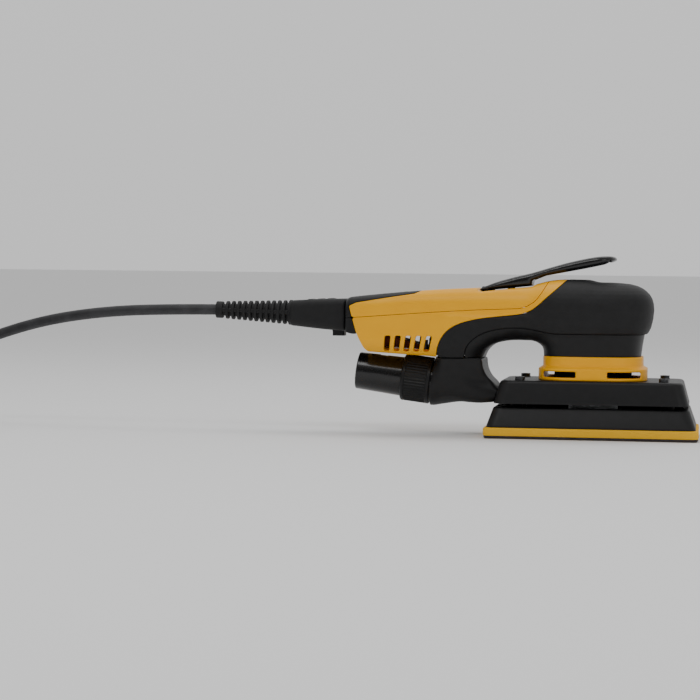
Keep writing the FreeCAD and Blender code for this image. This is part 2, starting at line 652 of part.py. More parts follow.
def build_motor():
    """Shaft with its eccentric journal, bearings, rotor, stator, fan and counterweight."""
    shaft = turned("rotor_shaft_blank", [
        ("0", "shaft_low"), ("8.5", "shaft_low"), ("8.5", "weight_low"),
        ("shaft_radius", "weight_low"), ("shaft_radius", "shaft_top - 0.6"),
        ("shaft_radius - 0.6", "shaft_top"), ("0", "shaft_top")], register=False)
    journal = cylinder("journal", "journal_radius", "shaft_low - journal_low")
    journal.setExpression("Placement.Base.y", bound("orbit_offset"))
    journal.setExpression("Placement.Base.z", bound("journal_low"))
    node(combined("MultiFuse", "rotor_shaft_solid", [shaft, journal]), "rotor_shaft")

    bushing("lower_bearing", "shaft_radius + running_gap", "bearing_radius",
            "low_bearing_low", "low_bearing_top")
    bushing("upper_bearing", "shaft_radius + running_gap", "small_bearing_radius",
            "top_bearing_low", "top_bearing_top")
    bushing("rotor_core", "shaft_radius", "core_radius", "stator_low - 1", "stator_top + 1")

    weight = bushing("weight_blank", "shaft_radius", "weight_radius", "weight_low",
                     "weight_top", register=False)
    half = box("weight_half", ("-30", "-30", "weight_low - 1"), ("30", "0", "weight_top + 1"))
    rim = cylinder("weight_rim", "9", "weight_top - weight_low")
    rim.setExpression("Placement.Base.z", bound("weight_low"))
    bore = cylinder("weight_bore", "shaft_radius", "weight_top - weight_low")
    bore.setExpression("Placement.Base.z", bound("weight_low"))
    heavy = combined("MultiCommon", "weight_sector", [weight, half])
    joined = combined("MultiFuse", "weight_joined", [heavy, rim])
    node(cut("weight_solid", joined, bore), "counterweight")

    magnets = bushing("magnet_ring", "core_radius", "magnet_radius", "stator_low",
                      "stator_top", register=False)
    gaps = doc.addObject("Part::Feature", "magnet_gaps")
    gaps.Shape = Part.makeCompound(repeated(block((8, -0.5, 50), (20, 0.5, 90)), 8))
    node(cut("magnets_split", magnets, gaps), "rotor_magnets")

    disc = bushing("fan_disc", "shaft_radius", "fan_radius", "fan_low", "fan_disc_top",
                   register=False)
    hub = bushing("fan_hub", "shaft_radius", "fan_hub", "fan_disc_top", "fan_top",
                  register=False)
    vane = block((size("fan_hub") - 0.5, -0.6, size("fan_disc_top")),
                 (size("fan_radius") - 0.4, 0.6, size("fan_top")))
    vane.rotate(Vector(size("fan_hub"), 0, 0), Vector(0, 0, 1), 24)
    blades = doc.addObject("Part::Feature", "fan_blades")
    blades.Shape = Part.makeCompound(repeated(vane, 11))
    node(combined("MultiFuse", "fan_solid", [disc, hub, blades]), "cooling_fan")

    low, top = size("stator_low"), size("stator_top")
    radius, yoke, inner = size("stator_radius"), size("yoke_radius"), size("stator_bore")
    width, side, end = size("tooth_width"), size("coil_side"), size("coil_end")
    ring = rod(Vector(0, 0, low), Vector(0, 0, top), radius)
    ring = ring.cut(rod(Vector(0, 0, low), Vector(0, 0, top), yoke))
    tooth = block((inner - 1.0, -width / 2, low), (yoke + 1.0, width / 2, top))
    core = ring.fuse(repeated(tooth, 9)).cut(rod(Vector(0, 0, 0), Vector(0, 0, 90), inner))
    feature("stator_core", core)
    coil = block((inner + 1.6, -width / 2 - side, low - end),
                 (yoke - 0.6, width / 2 + side, top + end))
    coil = coil.cut(block((0, -width / 2, low), (30, width / 2, top)))
    feature("stator_windings", Part.makeCompound(repeated(coil, 9)))

    plate_low = size("low_bearing_low")
    wall = size("ring_wall")
    plate = loft([level_section(z, size("ring_half_x") - wall, size("ring_half_y") - wall,
                                size("ring_corner") - wall) for z in (plate_low, 49.0)], True)
    boss = rod(Vector(0, 0, plate_low), Vector(0, 0, size("low_bearing_top")), 16.0)
    hole = rod(Vector(0, 0, 40), Vector(0, 0, 60), size("bearing_radius"))
    port = block((18.5, -4.0, 40), (24.0, 4.0, 60))
    feature("bearing_plate", plate.fuse(boss).cut(hole).cut(repeated(port, 6)))


# ---------------------------------------------------------------- electrics

def build_electrics():
    """Boards and parts inside the handle, the inlet and its wiring."""
    board = box("board_solid", ("-131", "-17", "69.4"), ("-60", "17", "71"))
    node(board, "control_board")
    board_top, can_radius = 71.0, 5.8
    cans = []
    for index in range(3):
        x = -124.0 + 14.0 * index
        middle = board_top + can_radius
        cans.append(rod(Vector(x, -14.0, middle), Vector(x, 14.0, middle), can_radius))
    feature("capacitors", Part.makeCompound(cans))
    core = Part.makeTorus(6.2, 2.8, Vector(-80.6, 0, board_top + 2.8))
    feature("inductor", core)
    sink = block((-70.0, -16.0, 71.0), (-63.0, 16.0, 72.6))
    fins = [block((-70.0, -16.0 + 4.0 * step, 72.5), (-63.0, -14.6 + 4.0 * step, 78.0))
            for step in range(8)]
    feature("heat_sink", sink.fuse(fins))
    filter_side = side_prism([(-133.0, 55.4), (-133.0, 63.8), (-101.0, 54.6), (-101.0, 53.6)],
                             reach=13.0)
    feature("inlet_filter", filter_side)
    box_sensor = box("sensor_solid", ("-56", "-3", "71"), ("-50", "3", "74"))
    stand = box("sensor_stand", ("-62", "-3", "69.4"), ("-50", "3", "71"))
    clear = box("sensor_clear", ("-62", "-4", "69"), ("-60", "4", "72"))
    fused = combined("MultiFuse", "sensor_joined", [box_sensor, stand])
    node(cut("sensor_trimmed", fused, clear), "trigger_sensor")
    top = panel_height(-139.0)
    keypad = block((-152.0, -14.0, top - 6.6), (-113.0, 14.0, top - 5.4))
    keypad.rotate(Vector(-139.0, 0, top), Vector(0, 1, 0), -PANEL_SLOPE)
    inlet_zone = block((-158.0, -12.2, 60.0), (-135.8, 12.2, 83.2))
    feature("keypad_board", single(keypad.cut(inlet_zone)))
    light = button_shape(LIGHT_X, 0.0, 1.2, 3.6, proud=0.15)
    feature("status_light", light)

    inlet = block((-156.0, -12.0, 66.0), (-136.0, 12.0, 83.0))
    inlet = inlet.cut(block((-157.0, -9.4, 68.1), (-140.0, 9.4, 80.9)))
    pins = [rod(Vector(-150.5, y, 74.5), Vector(-134.0, y, 74.5), size("pin_radius"))
            for y in (-5.5, 0.0, 5.5)]
    feature("power_inlet", inlet.cut(pins))
    feature("inlet_pins", Part.makeCompound(pins))
    wires = []
    for y in (-5.5, 0.0, 5.5):
        path = Part.makePolygon([Vector(-134.0, y, 74.5), Vector(-133.2, y, 74.5),
                                 Vector(-132.2, y, 73.5), Vector(-132.2, y, 66.0)])
        wires.append(path_tube(path, 0.7))
    feature("inlet_leads", Part.makeCompound(wires))
    leads = []
    for y in (-3.0, 0.0, 3.0):
        path = Part.makePolygon([Vector(-49.0, y, 69.8), Vector(-36.0, y, 69.8),
                                 Vector(-30.0, y, 73.0), Vector(-26.0, y, 75.0)])
        leads.append(path_tube(path, 0.9))
    feature("motor_leads", Part.makeCompound(leads))


def path_tube(path, radius):
    """A tube of mitred straight runs."""
    points = [vertex.Point for vertex in path.OrderedVertexes]
    solid = None
    for start, end in zip(points, points[1:]):
        run = rod(start, end, radius)
        ball = Part.makeSphere(radius, end)
        solid = run.fuse(ball) if solid is None else solid.fuse([run, ball])
    return solid


# ---------------------------------------------------------------- lever and buttons

LEVER_TOP = [
    (-72.3, 92.5), (-61.2, 96.8), (-49.9, 100.1), (-38.6, 102.9), (-27.4, 106.3), (-16.2, 109.5),
    (-5.0, 112.1), (3.4, 113.5), (9.6, 113.8), (13.2, 113.3), (14.7, 112.2),
]
LEVER_UNDER = [
    (14.0, 110.8), (6.3, 108.6), (-4.9, 106.2), (-16.1, 104.0), (-24.5, 102.3), (-31.3, 100.8),
    (-38.6, 97.6), (-39.1, 94.7), (-71.6, 91.1),
]


def build_lever():
    """The paddle lever, its pin, spring and magnet."""
    full = side_prism(LEVER_TOP + LEVER_UNDER, len(LEVER_TOP))
    wide = size("lever_half_width")
    plan_points = [Vector(-74.0, -13.0, 80), Vector(-40.0, -14.5, 80), Vector(-10.0, -wide, 80),
                   Vector(6.0, -wide + 0.6, 80), Vector(12.4, -wide + 5.0, 80),
                   Vector(15.2, 0, 80)]
    mirrored = [Vector(p.x, -p.y, p.z) for p in reversed(plan_points[:-1])]
    curve = Part.BSplineCurve()
    curve.interpolate(plan_points + mirrored)
    close = Part.makeLine(mirrored[-1], plan_points[0])
    plan = Part.Face(Part.Wire([curve.toShape(), close])).extrude(Vector(0, 0, 50))
    lever = full.common(plan)
    shell_line = [(x, z - 2.2) for x, z in LEVER_TOP[3:-2]]
    hollow = side_prism(shell_line + [(8.0, 100.0), (-36.0, 93.0)], len(shell_line))
    inner = block((-40, -wide + 4.0, 80), (8.0, wide - 4.0, 120))
    lever = lever.cut(hollow.common(inner))
    pin_x, pin_z = size("lever_pin_x"), size("lever_pin_z")
    lug_in, lug_out = size("lug_inner"), size("lug_outer")
    for side in (-1, 1):
        low_y, high_y = sorted((side * lug_in, side * lug_out))
        lug = block((pin_x - 3.2, low_y, pin_z), (pin_x + 3.2, high_y, 93.0))
        eye = rod(Vector(pin_x, low_y, pin_z), Vector(pin_x, high_y, pin_z), 3.2)
        lever = lever.fuse([lug, eye])
    fit = size("lever_pin_radius") + size("running_gap")
    lever = lever.cut(rod(Vector(pin_x, -20, pin_z), Vector(pin_x, 20, pin_z), fit))
    magnet_low = Vector(-52.5, 0, 92.0)
    magnet = rod(magnet_low, magnet_low + Vector(0, 0, 3.0), 2.4)
    feature("lever", single(lever.cut(magnet)))
    feature("lever_magnet", magnet)
    half = size("well_half_width") + 3.0
    pin = rod(Vector(pin_x, -half, pin_z), Vector(pin_x, half, pin_z), size("lever_pin_radius"))
    feature("lever_pin", pin)
    turns = 5.5
    low, top = 83.4, 92.6
    radius, wire = 3.0, 0.45
    helix = Part.makeHelix((top - low) / turns, top - low, radius)
    helix.translate(Vector(-45.0, 0, low))
    profile = Part.Wire(Part.makeCircle(wire, Vector(-45.0 + radius, 0, low), Vector(0, 1, 0)))
    spring = Part.Wire(helix.Edges).makePipeShell([profile], True, True)
    feature("lever_spring", spring)


def build_buttons():
    for label, (x, y) in BUTTONS.items():
        cap = button_shape(x, y, size("button_radius"), size("button_depth"), size("button_proud"))
        feature(label, cap)


# ---------------------------------------------------------------- detachable lead

CORD_ROUTE = [
    (-243.0, 0.0, 77.05), (-284.0, 1.0, 76.8), (-325.0, 8.0, 74.0), (-363.5, 19.5, 67.9),
    (-399.5, 30.0, 57.6), (-433.0, 38.0, 44.6), (-466.5, 43.3, 32.4), (-499.0, 45.0, 25.6),
]
TAIL_ROUTE = [
    (-497.0, -48.5, 3.5), (-482.0, -48.4, 6.4), (-468.0, -48.3, 14.0), (-453.5, -48.3, 18.8),
]


def rounded_path(points, name):
    """Straight runs joined by tangent arcs, each as large as its runs allow."""
    corners = [Vector(*point) for point in points]
    edges = []
    last = corners[0]
    radii = []
    for before, corner, after in zip(corners, corners[1:], corners[2:]):
        back = (before - corner).normalize()
        ahead = (after - corner).normalize()
        half_turn = (math.pi - back.getAngle(ahead)) / 2
        reach = 0.45 * min((before - corner).Length, (after - corner).Length)
        radii.append(reach / math.tan(half_turn))
        start = corner + back * reach
        end = corner + ahead * reach
        bisector = (back + ahead).normalize()
        centre = corner + bisector * (radii[-1] / math.cos(half_turn))
        middle = centre - bisector * radii[-1]
        edges.append(Part.makeLine(last, start))
        edges.append(Part.Arc(start, middle, end).toShape())
        last = end
    edges.append(Part.makeLine(last, corners[-1]))
    print(name, "bend radii", [round(radius, 1) for radius in radii])
    return Part.Wire(edges)


def cord_tube(points, name):
    """The round cord along a route."""
    path = rounded_path(points, name)
    start = Vector(*points[0])
    direction = Vector(*points[1]) - start
    radius = size("cord_radius")
    ring = Part.Wire(Part.makeCircle(radius, start, direction))
    tube = path.makePipeShell([ring], True, False)
    expected = math.pi * radius ** 2 * path.Length
    print(name, "length", round(path.Length, 1), "volume ratio", round(tube.Volume / expected, 4))
    return tube


def build_plug():
    """The moulded connector that pushes into the inlet, its sockets and latch button."""
    front, rear = size("plug_front"), size("plug_rear")
    body = loft([cross_section(front, 15.0, 64.8, 85.2, 4.0),
                 cross_section(front - 12.0, 14.2, 65.4, 84.8, 4.5),
                 cross_section(rear, 9.6, 67.6, 83.6, 5.0)])
    spigot = block((front - 1.0, -9.0, 68.5), (front + size("spigot_length"), 9.0, 80.5))
    bumps = []
    for x, z in ((-168.0, 84.6), (-174.3, 84.3), (-180.6, 83.9)):
        bumps.append(rod(Vector(x, -8.0, z - 1.6), Vector(x, 8.0, z - 1.6), 2.2))
    sockets = []
    holes = []
    for y in (-5.5, 0.0, 5.5):
        start, end = Vector(-160.0, y, 74.5), Vector(front + size("spigot_length"), y, 74.5)
        outer = rod(start, end, 2.0)
        holes.append(outer)
        inner_radius = size("pin_radius") + size("running_gap")
        sockets.append(outer.cut(rod(start + Vector(3, 0, 0), end, inner_radius)))
    latch_room = block((-166.7, -5.3, 60.0), (-158.5, 5.3, 68.0))
    body = body.fuse([spigot] + bumps).cut(holes + [latch_room])
    feature("plug_body", single(body))
    feature("plug_sockets", Part.makeCompound(sockets))
    latch = slab(7.6, 10.0, 61.4, 65.0, 1.2, x=-162.6, shrink=0.0)
    latch = latch.fuse(block((-166.4, -5.0, 64.0), (-158.8, 5.0, 66.6)))
    feature("latch_button", latch)


def build_strain_relief():
    """A tapered bend relief: discs on a core, bridged on both sides."""
    rear = Vector(size("relief_rear_x"), 0, size("relief_rear_z"))
    front = Vector(size("plug_rear"), 0, size("relief_front_z"))
    along = (front - rear).normalize()
    length = (front - rear).Length
    small, large = size("relief_rear_radius"), size("relief_front_radius")
    groove = 1.9

    def radius_at(distance):
        return small + (large - small) * distance / length

    solids = [Part.makeCone(small - groove, large - groove, length, rear, along),
              rod(rear, rear + along * 4.6, small)]
    step = size("relief_pitch")
    for index in range(11):
        start = 6.6 + index * step
        solids.append(rod(rear + along * start, rear + along * (start + 1.9), radius_at(start)))
    solids.append(rod(front - along * 1.8, front, large))
    webs = Part.makeCone(small - 0.5, large - 0.5, length, rear, along)
    web_band = block((rear.x, -12, -1.3), (front.x, 12, 1.3))
    web_band.rotate(Vector(rear.x, 0, 0), Vector(0, 1, 0),
                    math.degrees(math.atan2(rear.z - front.z, front.x - rear.x)))
    web_band.translate(Vector(0, 0, rear.z))
    solids.append(webs.common(web_band))
    relief = solids[0].fuse(solids[1:])
    feature("strain_relief", relief)


def build_lead():
    """The cord, its put-away coil with a tie, and the mains plug."""
    coil_x, coil_y = size("coil_x"), size("coil_y")
    inner, outer, height = size("coil_inner"), size("coil_outer"), size("coil_height")
    coil = turned("cord_coil", [
        ("coil_inner + 3", "0"), ("coil_outer - 3", "0"), ("coil_outer", "3"),
        ("coil_outer", "coil_height - 3"), ("coil_outer - 3", "coil_height"),
        ("coil_inner + 3", "coil_height"), ("coil_inner", "coil_height - 3"),
        ("coil_inner", "3")])
    coil.setExpression("Placement.Base.x", bound("coil_x"))
    coil.setExpression("Placement.Base.y", bound("coil_y"))
    feature("power_cord", cord_tube(CORD_ROUTE, "power_cord"))
    feature("cord_tail", cord_tube(TAIL_ROUTE, "cord_tail"))

    middle = (inner + outer) / 2
    half = (outer - inner) / 2
    tie = slab(12.0, 2 * half + 2.4, 0.0, height + 1.4, 1.0)
    tie = tie.cut(block((-10, -half, 1.2), (10, half, height + 0.2)))
    tie.rotate(Vector(0, 0, 0), Vector(0, 0, 1), 90)
    tie.translate(Vector(coil_x - middle, coil_y, 0))
    feature("cord_tie", tie)

    x, y, radius = size("mains_plug_x"), size("mains_plug_y"), size("mains_plug_radius")
    centre = Vector(x, y, radius)
    ahead = Vector(1, 0, 0)
    tail = Part.makeCone(5.0, 8.5, 10.0, centre - ahead * 4.6, ahead)
    grip = Part.makeCone(11.0, radius, 16.0, centre + ahead * 3.0, ahead)
    face = rod(centre + ahead * 18.0, centre + ahead * 36.0, radius)
    body = tail.fuse([rod(centre, centre + ahead * 6.0, 11.0), grip, face])
    pins = []
    for side in (-1, 1):
        root = centre + Vector(32.0, 0, side * size("mains_pin_spacing") / 2)
        shoulder = root + ahead * 4.5
        tip = shoulder + ahead * size("mains_pin_length")
        pins.append(rod(root, shoulder, size("mains_pin_radius") - 0.4).fuse(
            rod(shoulder, tip, size("mains_pin_radius"))))
    cord_hole = rod(centre - ahead * 5.0, centre - ahead * 4.4, size("cord_radius"))
    for side in (-1, 1):
        clip_y = y + side * (radius - 1.2)
        clip = block((x + 30.0, clip_y - 1.6, radius - 3.0), (x + 37.0, clip_y + 1.6, radius + 3.0))
        body = body.cut(clip)
    feature("mains_plug", single(body.cut(pins + [cord_hole])))
    feature("mains_plug_pins", Part.makeCompound(pins))


def build_shell_screws():
    """Screws that hold the two yellow shells, entered from below."""
    screws = []
    for x, y in SHELL_SCREWS:
        shank = rod(Vector(x, y, 52.2), Vector(x, y, 60.0), 1.6)
        screws.append(shank)
    feature("housing_screws", Part.makeCompound(screws))


# ---------------------------------------------------------------- whole

def build():
    build_shells()
    build_duct()
    build_swivel()
    build_skirt()
    build_pad()
    build_motor()
    build_electrics()
    build_lever()
    build_buttons()
    build_plug()
    build_strain_relief()
    build_lead()
    build_shell_screws()


def check():
    """Stop if any feature failed or any sub-part is empty or invalid."""
    doc.recompute()
    for item in doc.Objects:
        if any(word in item.State for word in ("Invalid", "Error")):
            raise RuntimeError("failed feature: " + item.Name)
    for item in NODES:
        if item.Shape.isNull() or not item.Shape.isValid() or item.Shape.Volume <= 0:
            raise RuntimeError("bad shape: " + item.Label)
    print(len(NODES), "sub-parts")


def export():
    os.makedirs("parts", exist_ok=True)
    for item in NODES:
        item.Shape.exportStep("parts/%s.step" % item.Label)


build()
check()
export()
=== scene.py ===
import math

import bmesh
import bpy
import numpy as np
from mathutils import Matrix, Vector


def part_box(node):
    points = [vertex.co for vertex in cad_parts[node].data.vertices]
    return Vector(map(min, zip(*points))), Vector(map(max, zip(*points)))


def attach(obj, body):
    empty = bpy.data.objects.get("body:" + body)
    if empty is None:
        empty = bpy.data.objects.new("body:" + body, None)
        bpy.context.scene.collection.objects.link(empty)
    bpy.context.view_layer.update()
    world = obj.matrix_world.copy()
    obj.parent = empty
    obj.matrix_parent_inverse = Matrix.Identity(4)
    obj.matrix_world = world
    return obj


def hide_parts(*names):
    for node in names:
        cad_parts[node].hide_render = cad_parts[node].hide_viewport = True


# The looks of a low-profile orbital sander. Forms are worked out in millimetres and written in
# metres, in the frame of the CAD part: +X to the front of the pad, +Z up.

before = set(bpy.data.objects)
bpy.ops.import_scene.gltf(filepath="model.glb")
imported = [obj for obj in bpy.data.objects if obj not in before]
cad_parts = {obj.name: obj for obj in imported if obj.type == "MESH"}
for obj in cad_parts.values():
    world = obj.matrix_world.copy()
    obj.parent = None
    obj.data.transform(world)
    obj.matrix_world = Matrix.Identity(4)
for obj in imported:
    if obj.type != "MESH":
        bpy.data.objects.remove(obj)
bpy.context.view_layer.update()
MM = 0.001


# ---------------------------------------------------------------- camera and stage

AIM = Vector((-0.15565, 0.0, 0.05216))
DISTANCE, AZIMUTH, ELEVATION, ROLL = 1.527, math.radians(8.4), math.radians(2.0), math.radians(0.6)
LENS, SENSOR = 122.45, 36.0


def placed(name, data):
    """A new object with the given data, in the scene."""
    obj = bpy.data.objects.new(name, data)
    bpy.context.scene.collection.objects.link(obj)
    return obj


def finer(full):
    return full


def make_camera():
    back = Vector((math.sin(AZIMUTH) * math.cos(ELEVATION),
                   -math.cos(AZIMUTH) * math.cos(ELEVATION), math.sin(ELEVATION)))
    camera = placed("camera", bpy.data.cameras.new("camera"))
    camera.data.lens, camera.data.sensor_width = LENS, SENSOR
    camera.rotation_mode = "QUATERNION"
    camera.location = AIM + back * DISTANCE
    camera.rotation_quaternion = ((-back).to_track_quat("-Z", "Y")
                                  @ Matrix.Rotation(ROLL, 3, "Z").to_quaternion())
    camera.data.clip_start, camera.data.clip_end = 0.05, 50.0
    bpy.context.scene.camera = camera


def add_light(name, place, target, power, width, height):
    light = bpy.data.lights.new(name, "AREA")
    light.shape = "RECTANGLE"
    light.size, light.size_y, light.energy = width, height, power
    lamp = placed(name, light)
    lamp.location = place
    aim = Vector(target) - Vector(place)
    lamp.rotation_mode = "QUATERNION"
    lamp.rotation_quaternion = aim.to_track_quat("-Z", "Y")


ROOM_FRONT, ROOM_BACK, ROOM_CEILING = 0.03, 0.78, 0.35
FLOOR_REACH, FLOOR_DROP, FLOOR_GREY = 40.0, 0.0002, 0.86


def scaled(tree, source, factor, offset):
    """A number times a factor plus an offset, held between 0 and 1."""
    sum_node = tree.nodes.new("ShaderNodeMath")
    sum_node.operation = "MULTIPLY_ADD"
    sum_node.use_clamp = True
    sum_node.inputs[1].default_value = factor
    sum_node.inputs[2].default_value = offset
    link(tree, source, sum_node.inputs[0])
    return sum_node.outputs["Value"]


def make_stage():
    """A pale floor, a room that is bright behind the tool, and soft boxes."""
    mesh = bpy.data.meshes.new("floor")
    corners = [(-FLOOR_REACH, -FLOOR_REACH, 0), (FLOOR_REACH, -FLOOR_REACH, 0),
               (FLOOR_REACH, FLOOR_REACH, 0), (-FLOOR_REACH, FLOOR_REACH, 0)]
    mesh.from_pydata(corners, [], [(0, 1, 2, 3)])
    floor = placed("floor", mesh)
    floor.location.z = -FLOOR_DROP
    mesh.materials.append(principled("pale_floor", (FLOOR_GREY,) * 3, 0.9)[0])
    world = bpy.data.worlds.new("studio")
    world.use_nodes = True
    tree = world.node_tree
    place = tree.nodes.new("ShaderNodeTexCoord")
    split = tree.nodes.new("ShaderNodeSeparateXYZ")
    link(tree, place.outputs["Generated"], split.inputs["Vector"])
    walls = scaled(tree, split.outputs["Y"], (ROOM_BACK - ROOM_FRONT) / 2,
                   (ROOM_BACK + ROOM_FRONT) / 2)
    ceiling = scaled(tree, split.outputs["Z"], ROOM_CEILING, 0.0)
    light = tree.nodes.new("ShaderNodeMath")
    link(tree, walls, light.inputs[0])
    link(tree, ceiling, light.inputs[1])
    room = tree.nodes["Background"]
    room.inputs["Color"].default_value = grey(1.0)
    link(tree, light.outputs["Value"], room.inputs["Strength"])
    bpy.context.scene.world = world
    add_light("key", (-0.35, -1.0, 1.2), (-0.03, 0, 0.06), 6.0, 0.9, 0.5)
    add_light("fill", (0.9, -1.1, 0.5), (-0.05, 0, 0.06), 2.0, 0.6, 0.8)
    add_light("top", (-0.05, 0.35, 1.3), (-0.05, 0, 0.05), 4.0, 1.2, 0.6)


# ---------------------------------------------------------------- materials

def principled(name, color, roughness, metallic=0.0, shine=0.5):
    paint = bpy.data.materials.new(name)
    paint.use_nodes = True
    shader = paint.node_tree.nodes["Principled BSDF"]
    shader.inputs["Base Color"].default_value = (*color, 1)
    shader.inputs["Roughness"].default_value = roughness
    shader.inputs["Metallic"].default_value = metallic
    shader.inputs["Specular IOR Level"].default_value = shine
    return paint, paint.node_tree, shader


def link(tree, start, end):
    tree.links.new(start, end)


def texture(tree, kind, scale, detail=3.0, stretch=(1, 1, 1), **settings):
    """A pattern in the piece's own metres."""
    place = tree.nodes.new("ShaderNodeTexCoord")
    mapping = tree.nodes.new("ShaderNodeMapping")
    mapping.inputs["Scale"].default_value = stretch
    pattern = tree.nodes.new(kind)
    pattern.inputs["Scale"].default_value = scale
    if "Detail" in pattern.inputs:
        pattern.inputs["Detail"].default_value = detail
    for key, value in settings.items():
        setattr(pattern, key, value)
    link(tree, place.outputs["Object"], mapping.inputs["Vector"])
    link(tree, mapping.outputs["Vector"], pattern.inputs["Vector"])
    return pattern


def ramp_between(tree, source, low, high, start=0.35, end=0.65):
    """A source's 0 to 1 turned into a colour or grey between low and high."""
    ramp = tree.nodes.new("ShaderNodeValToRGB")
    ramp.color_ramp.elements[0].position = start
    ramp.color_ramp.elements[1].position = end
    ramp.color_ramp.elements[0].color = low
    ramp.color_ramp.elements[1].color = high
    link(tree, source, ramp.inputs["Fac"])
    return ramp.outputs["Color"]


def grey(value):
    return (value, value, value, 1)


def bumps(tree, shader, layers):
    """Layers of (height source, depth in metres), added up into one normal."""
    normal = None
    for source, depth in layers:
        bump = tree.nodes.new("ShaderNodeBump")
        bump.inputs["Strength"].default_value = 1.0
        bump.inputs["Distance"].default_value = depth
        link(tree, source, bump.inputs["Height"])
        if normal is not None:
            link(tree, normal, bump.inputs["Normal"])
        normal = bump.outputs["Normal"]
    link(tree, normal, shader.inputs["Normal"])


def moulded(name, color, roughness, grain=2600, depth=0.000035, shade=0.12, coarse=220,
            shine=0.3):
    """Injection-moulded plastic or rubber: a fine spark-eroded grain and slight clouding."""
    paint, tree, shader = principled(name, color, roughness, shine=shine)
    cloud = texture(tree, "ShaderNodeTexNoise", coarse, 4.0)
    dark = tuple(c * (1 - shade) for c in color)
    light = tuple(min(1.0, c * (1 + shade)) for c in color)
    link(tree, ramp_between(tree, cloud.outputs["Fac"], (*dark, 1), (*light, 1)),
         shader.inputs["Base Color"])
    fine = texture(tree, "ShaderNodeTexNoise", grain, 2.0)
    link(tree, ramp_between(tree, fine.outputs["Fac"], grey(roughness - 0.06),
                            grey(roughness + 0.08)), shader.inputs["Roughness"])
    cells = texture(tree, "ShaderNodeTexVoronoi", grain * 0.6)
    bumps(tree, shader, [(fine.outputs["Fac"], depth), (cells.outputs["Distance"], depth * 0.6)])
    return paint


def metal(name, color, roughness, stretch=(1, 1, 1), scale=900):
    """Turned or drawn metal with fine lines."""
    paint, tree, shader = principled(name, color, roughness, 1.0)
    lines = texture(tree, "ShaderNodeTexNoise", scale, 4.0, stretch)
    link(tree, ramp_between(tree, lines.outputs["Fac"], grey(roughness - 0.08),
                            grey(roughness + 0.12)), shader.inputs["Roughness"])
    dark = tuple(c * 0.82 for c in color)
    link(tree, ramp_between(tree, lines.outputs["Fac"], (*dark, 1), (*color, 1)),
         shader.inputs["Base Color"])
    bumps(tree, shader, [(lines.outputs["Fac"], 0.00001)])
    return paint


def foam_paint():
    """Closed-cell foam: small dark pores over a warm yellow."""
    color = (0.98, 0.53, 0.012)
    paint, tree, shader = principled("foam_yellow", color, 0.85)
    pores = texture(tree, "ShaderNodeTexVoronoi", 1500)
    link(tree, ramp_between(tree, pores.outputs["Distance"], (0.78, 0.36, 0.01, 1), (*color, 1),
                            0.0, 0.35), shader.inputs["Base Color"])
    rough = texture(tree, "ShaderNodeTexNoise", 900, 3.0)
    bumps(tree, shader, [(pores.outputs["Distance"], 0.0002), (rough.outputs["Fac"], 0.0001)])
    return paint


def net_paint():
    """Knitted abrasive net: dark coated threads around rows of small holes."""
    paint, tree, shader = principled("abrasive_net", (0.06, 0.045, 0.04), 0.95)
    knit = texture(tree, "ShaderNodeTexVoronoi", 620, stretch=(1.0, 0.62, 1.0))
    grit = texture(tree, "ShaderNodeTexNoise", 5200, 2.0)
    link(tree, ramp_between(tree, knit.outputs["Distance"], (0.012, 0.01, 0.01, 1),
                            (0.13, 0.1, 0.085, 1), 0.1, 0.5), shader.inputs["Base Color"])
    bumps(tree, shader, [(knit.outputs["Distance"], 0.0003), (grit.outputs["Fac"], 0.00012)])
    return paint


def cord_paint():
    """Rubber cable sheath, faintly ribbed by the cores twisted inside it."""
    paint, tree, shader = principled("cord_sheath", (0.022, 0.022, 0.024), 0.55)
    fine = texture(tree, "ShaderNodeTexNoise", 2200, 3.0)
    broad = texture(tree, "ShaderNodeTexNoise", 120, 3.0)
    link(tree, ramp_between(tree, broad.outputs["Fac"], (0.016, 0.016, 0.018, 1),
                            (0.03, 0.03, 0.033, 1)), shader.inputs["Base Color"])
    link(tree, ramp_between(tree, fine.outputs["Fac"], grey(0.48), grey(0.64)),
         shader.inputs["Roughness"])
    bumps(tree, shader, [(fine.outputs["Fac"], 0.00003), (broad.outputs["Fac"], 0.0001)])
    return paint


def winding_paint():
    """Enamelled copper wire laid side by side."""
    paint, tree, shader = principled("copper_wire", (0.62, 0.25, 0.09), 0.3, 1.0)
    wires = texture(tree, "ShaderNodeTexWave", 900, 0.5, bands_direction="DIAGONAL")
    link(tree, ramp_between(tree, wires.outputs["Fac"], (0.28, 0.09, 0.03, 1),
                            (0.75, 0.34, 0.14, 1)), shader.inputs["Base Color"])
    bumps(tree, shader, [(wires.outputs["Fac"], 0.0001)])
    return paint


def laminated_paint():
    """A stack of thin steel sheets."""
    paint, tree, shader = principled("laminations", (0.3, 0.3, 0.32), 0.42, 1.0)
    sheets = texture(tree, "ShaderNodeTexWave", 650, 0.0, bands_direction="Z")
    link(tree, ramp_between(tree, sheets.outputs["Fac"], grey(0.14), grey(0.4)),
         shader.inputs["Base Color"])
    bumps(tree, shader, [(sheets.outputs["Fac"], 0.00006)])
    return paint


def board_paint():
    """A lacquered circuit board with faint tracks."""
    paint, tree, shader = principled("circuit_board", (0.01, 0.13, 0.05), 0.3)
    tracks = texture(tree, "ShaderNodeTexBrick", 160)
    tracks.inputs["Color1"].default_value = (0.01, 0.12, 0.045, 1)
    tracks.inputs["Color2"].default_value = (0.012, 0.15, 0.06, 1)
    tracks.inputs["Mortar"].default_value = (0.03, 0.28, 0.12, 1)
    link(tree, tracks.outputs["Color"], shader.inputs["Base Color"])
    bumps(tree, shader, [(tracks.outputs["Fac"], 0.00005)])
    return paint


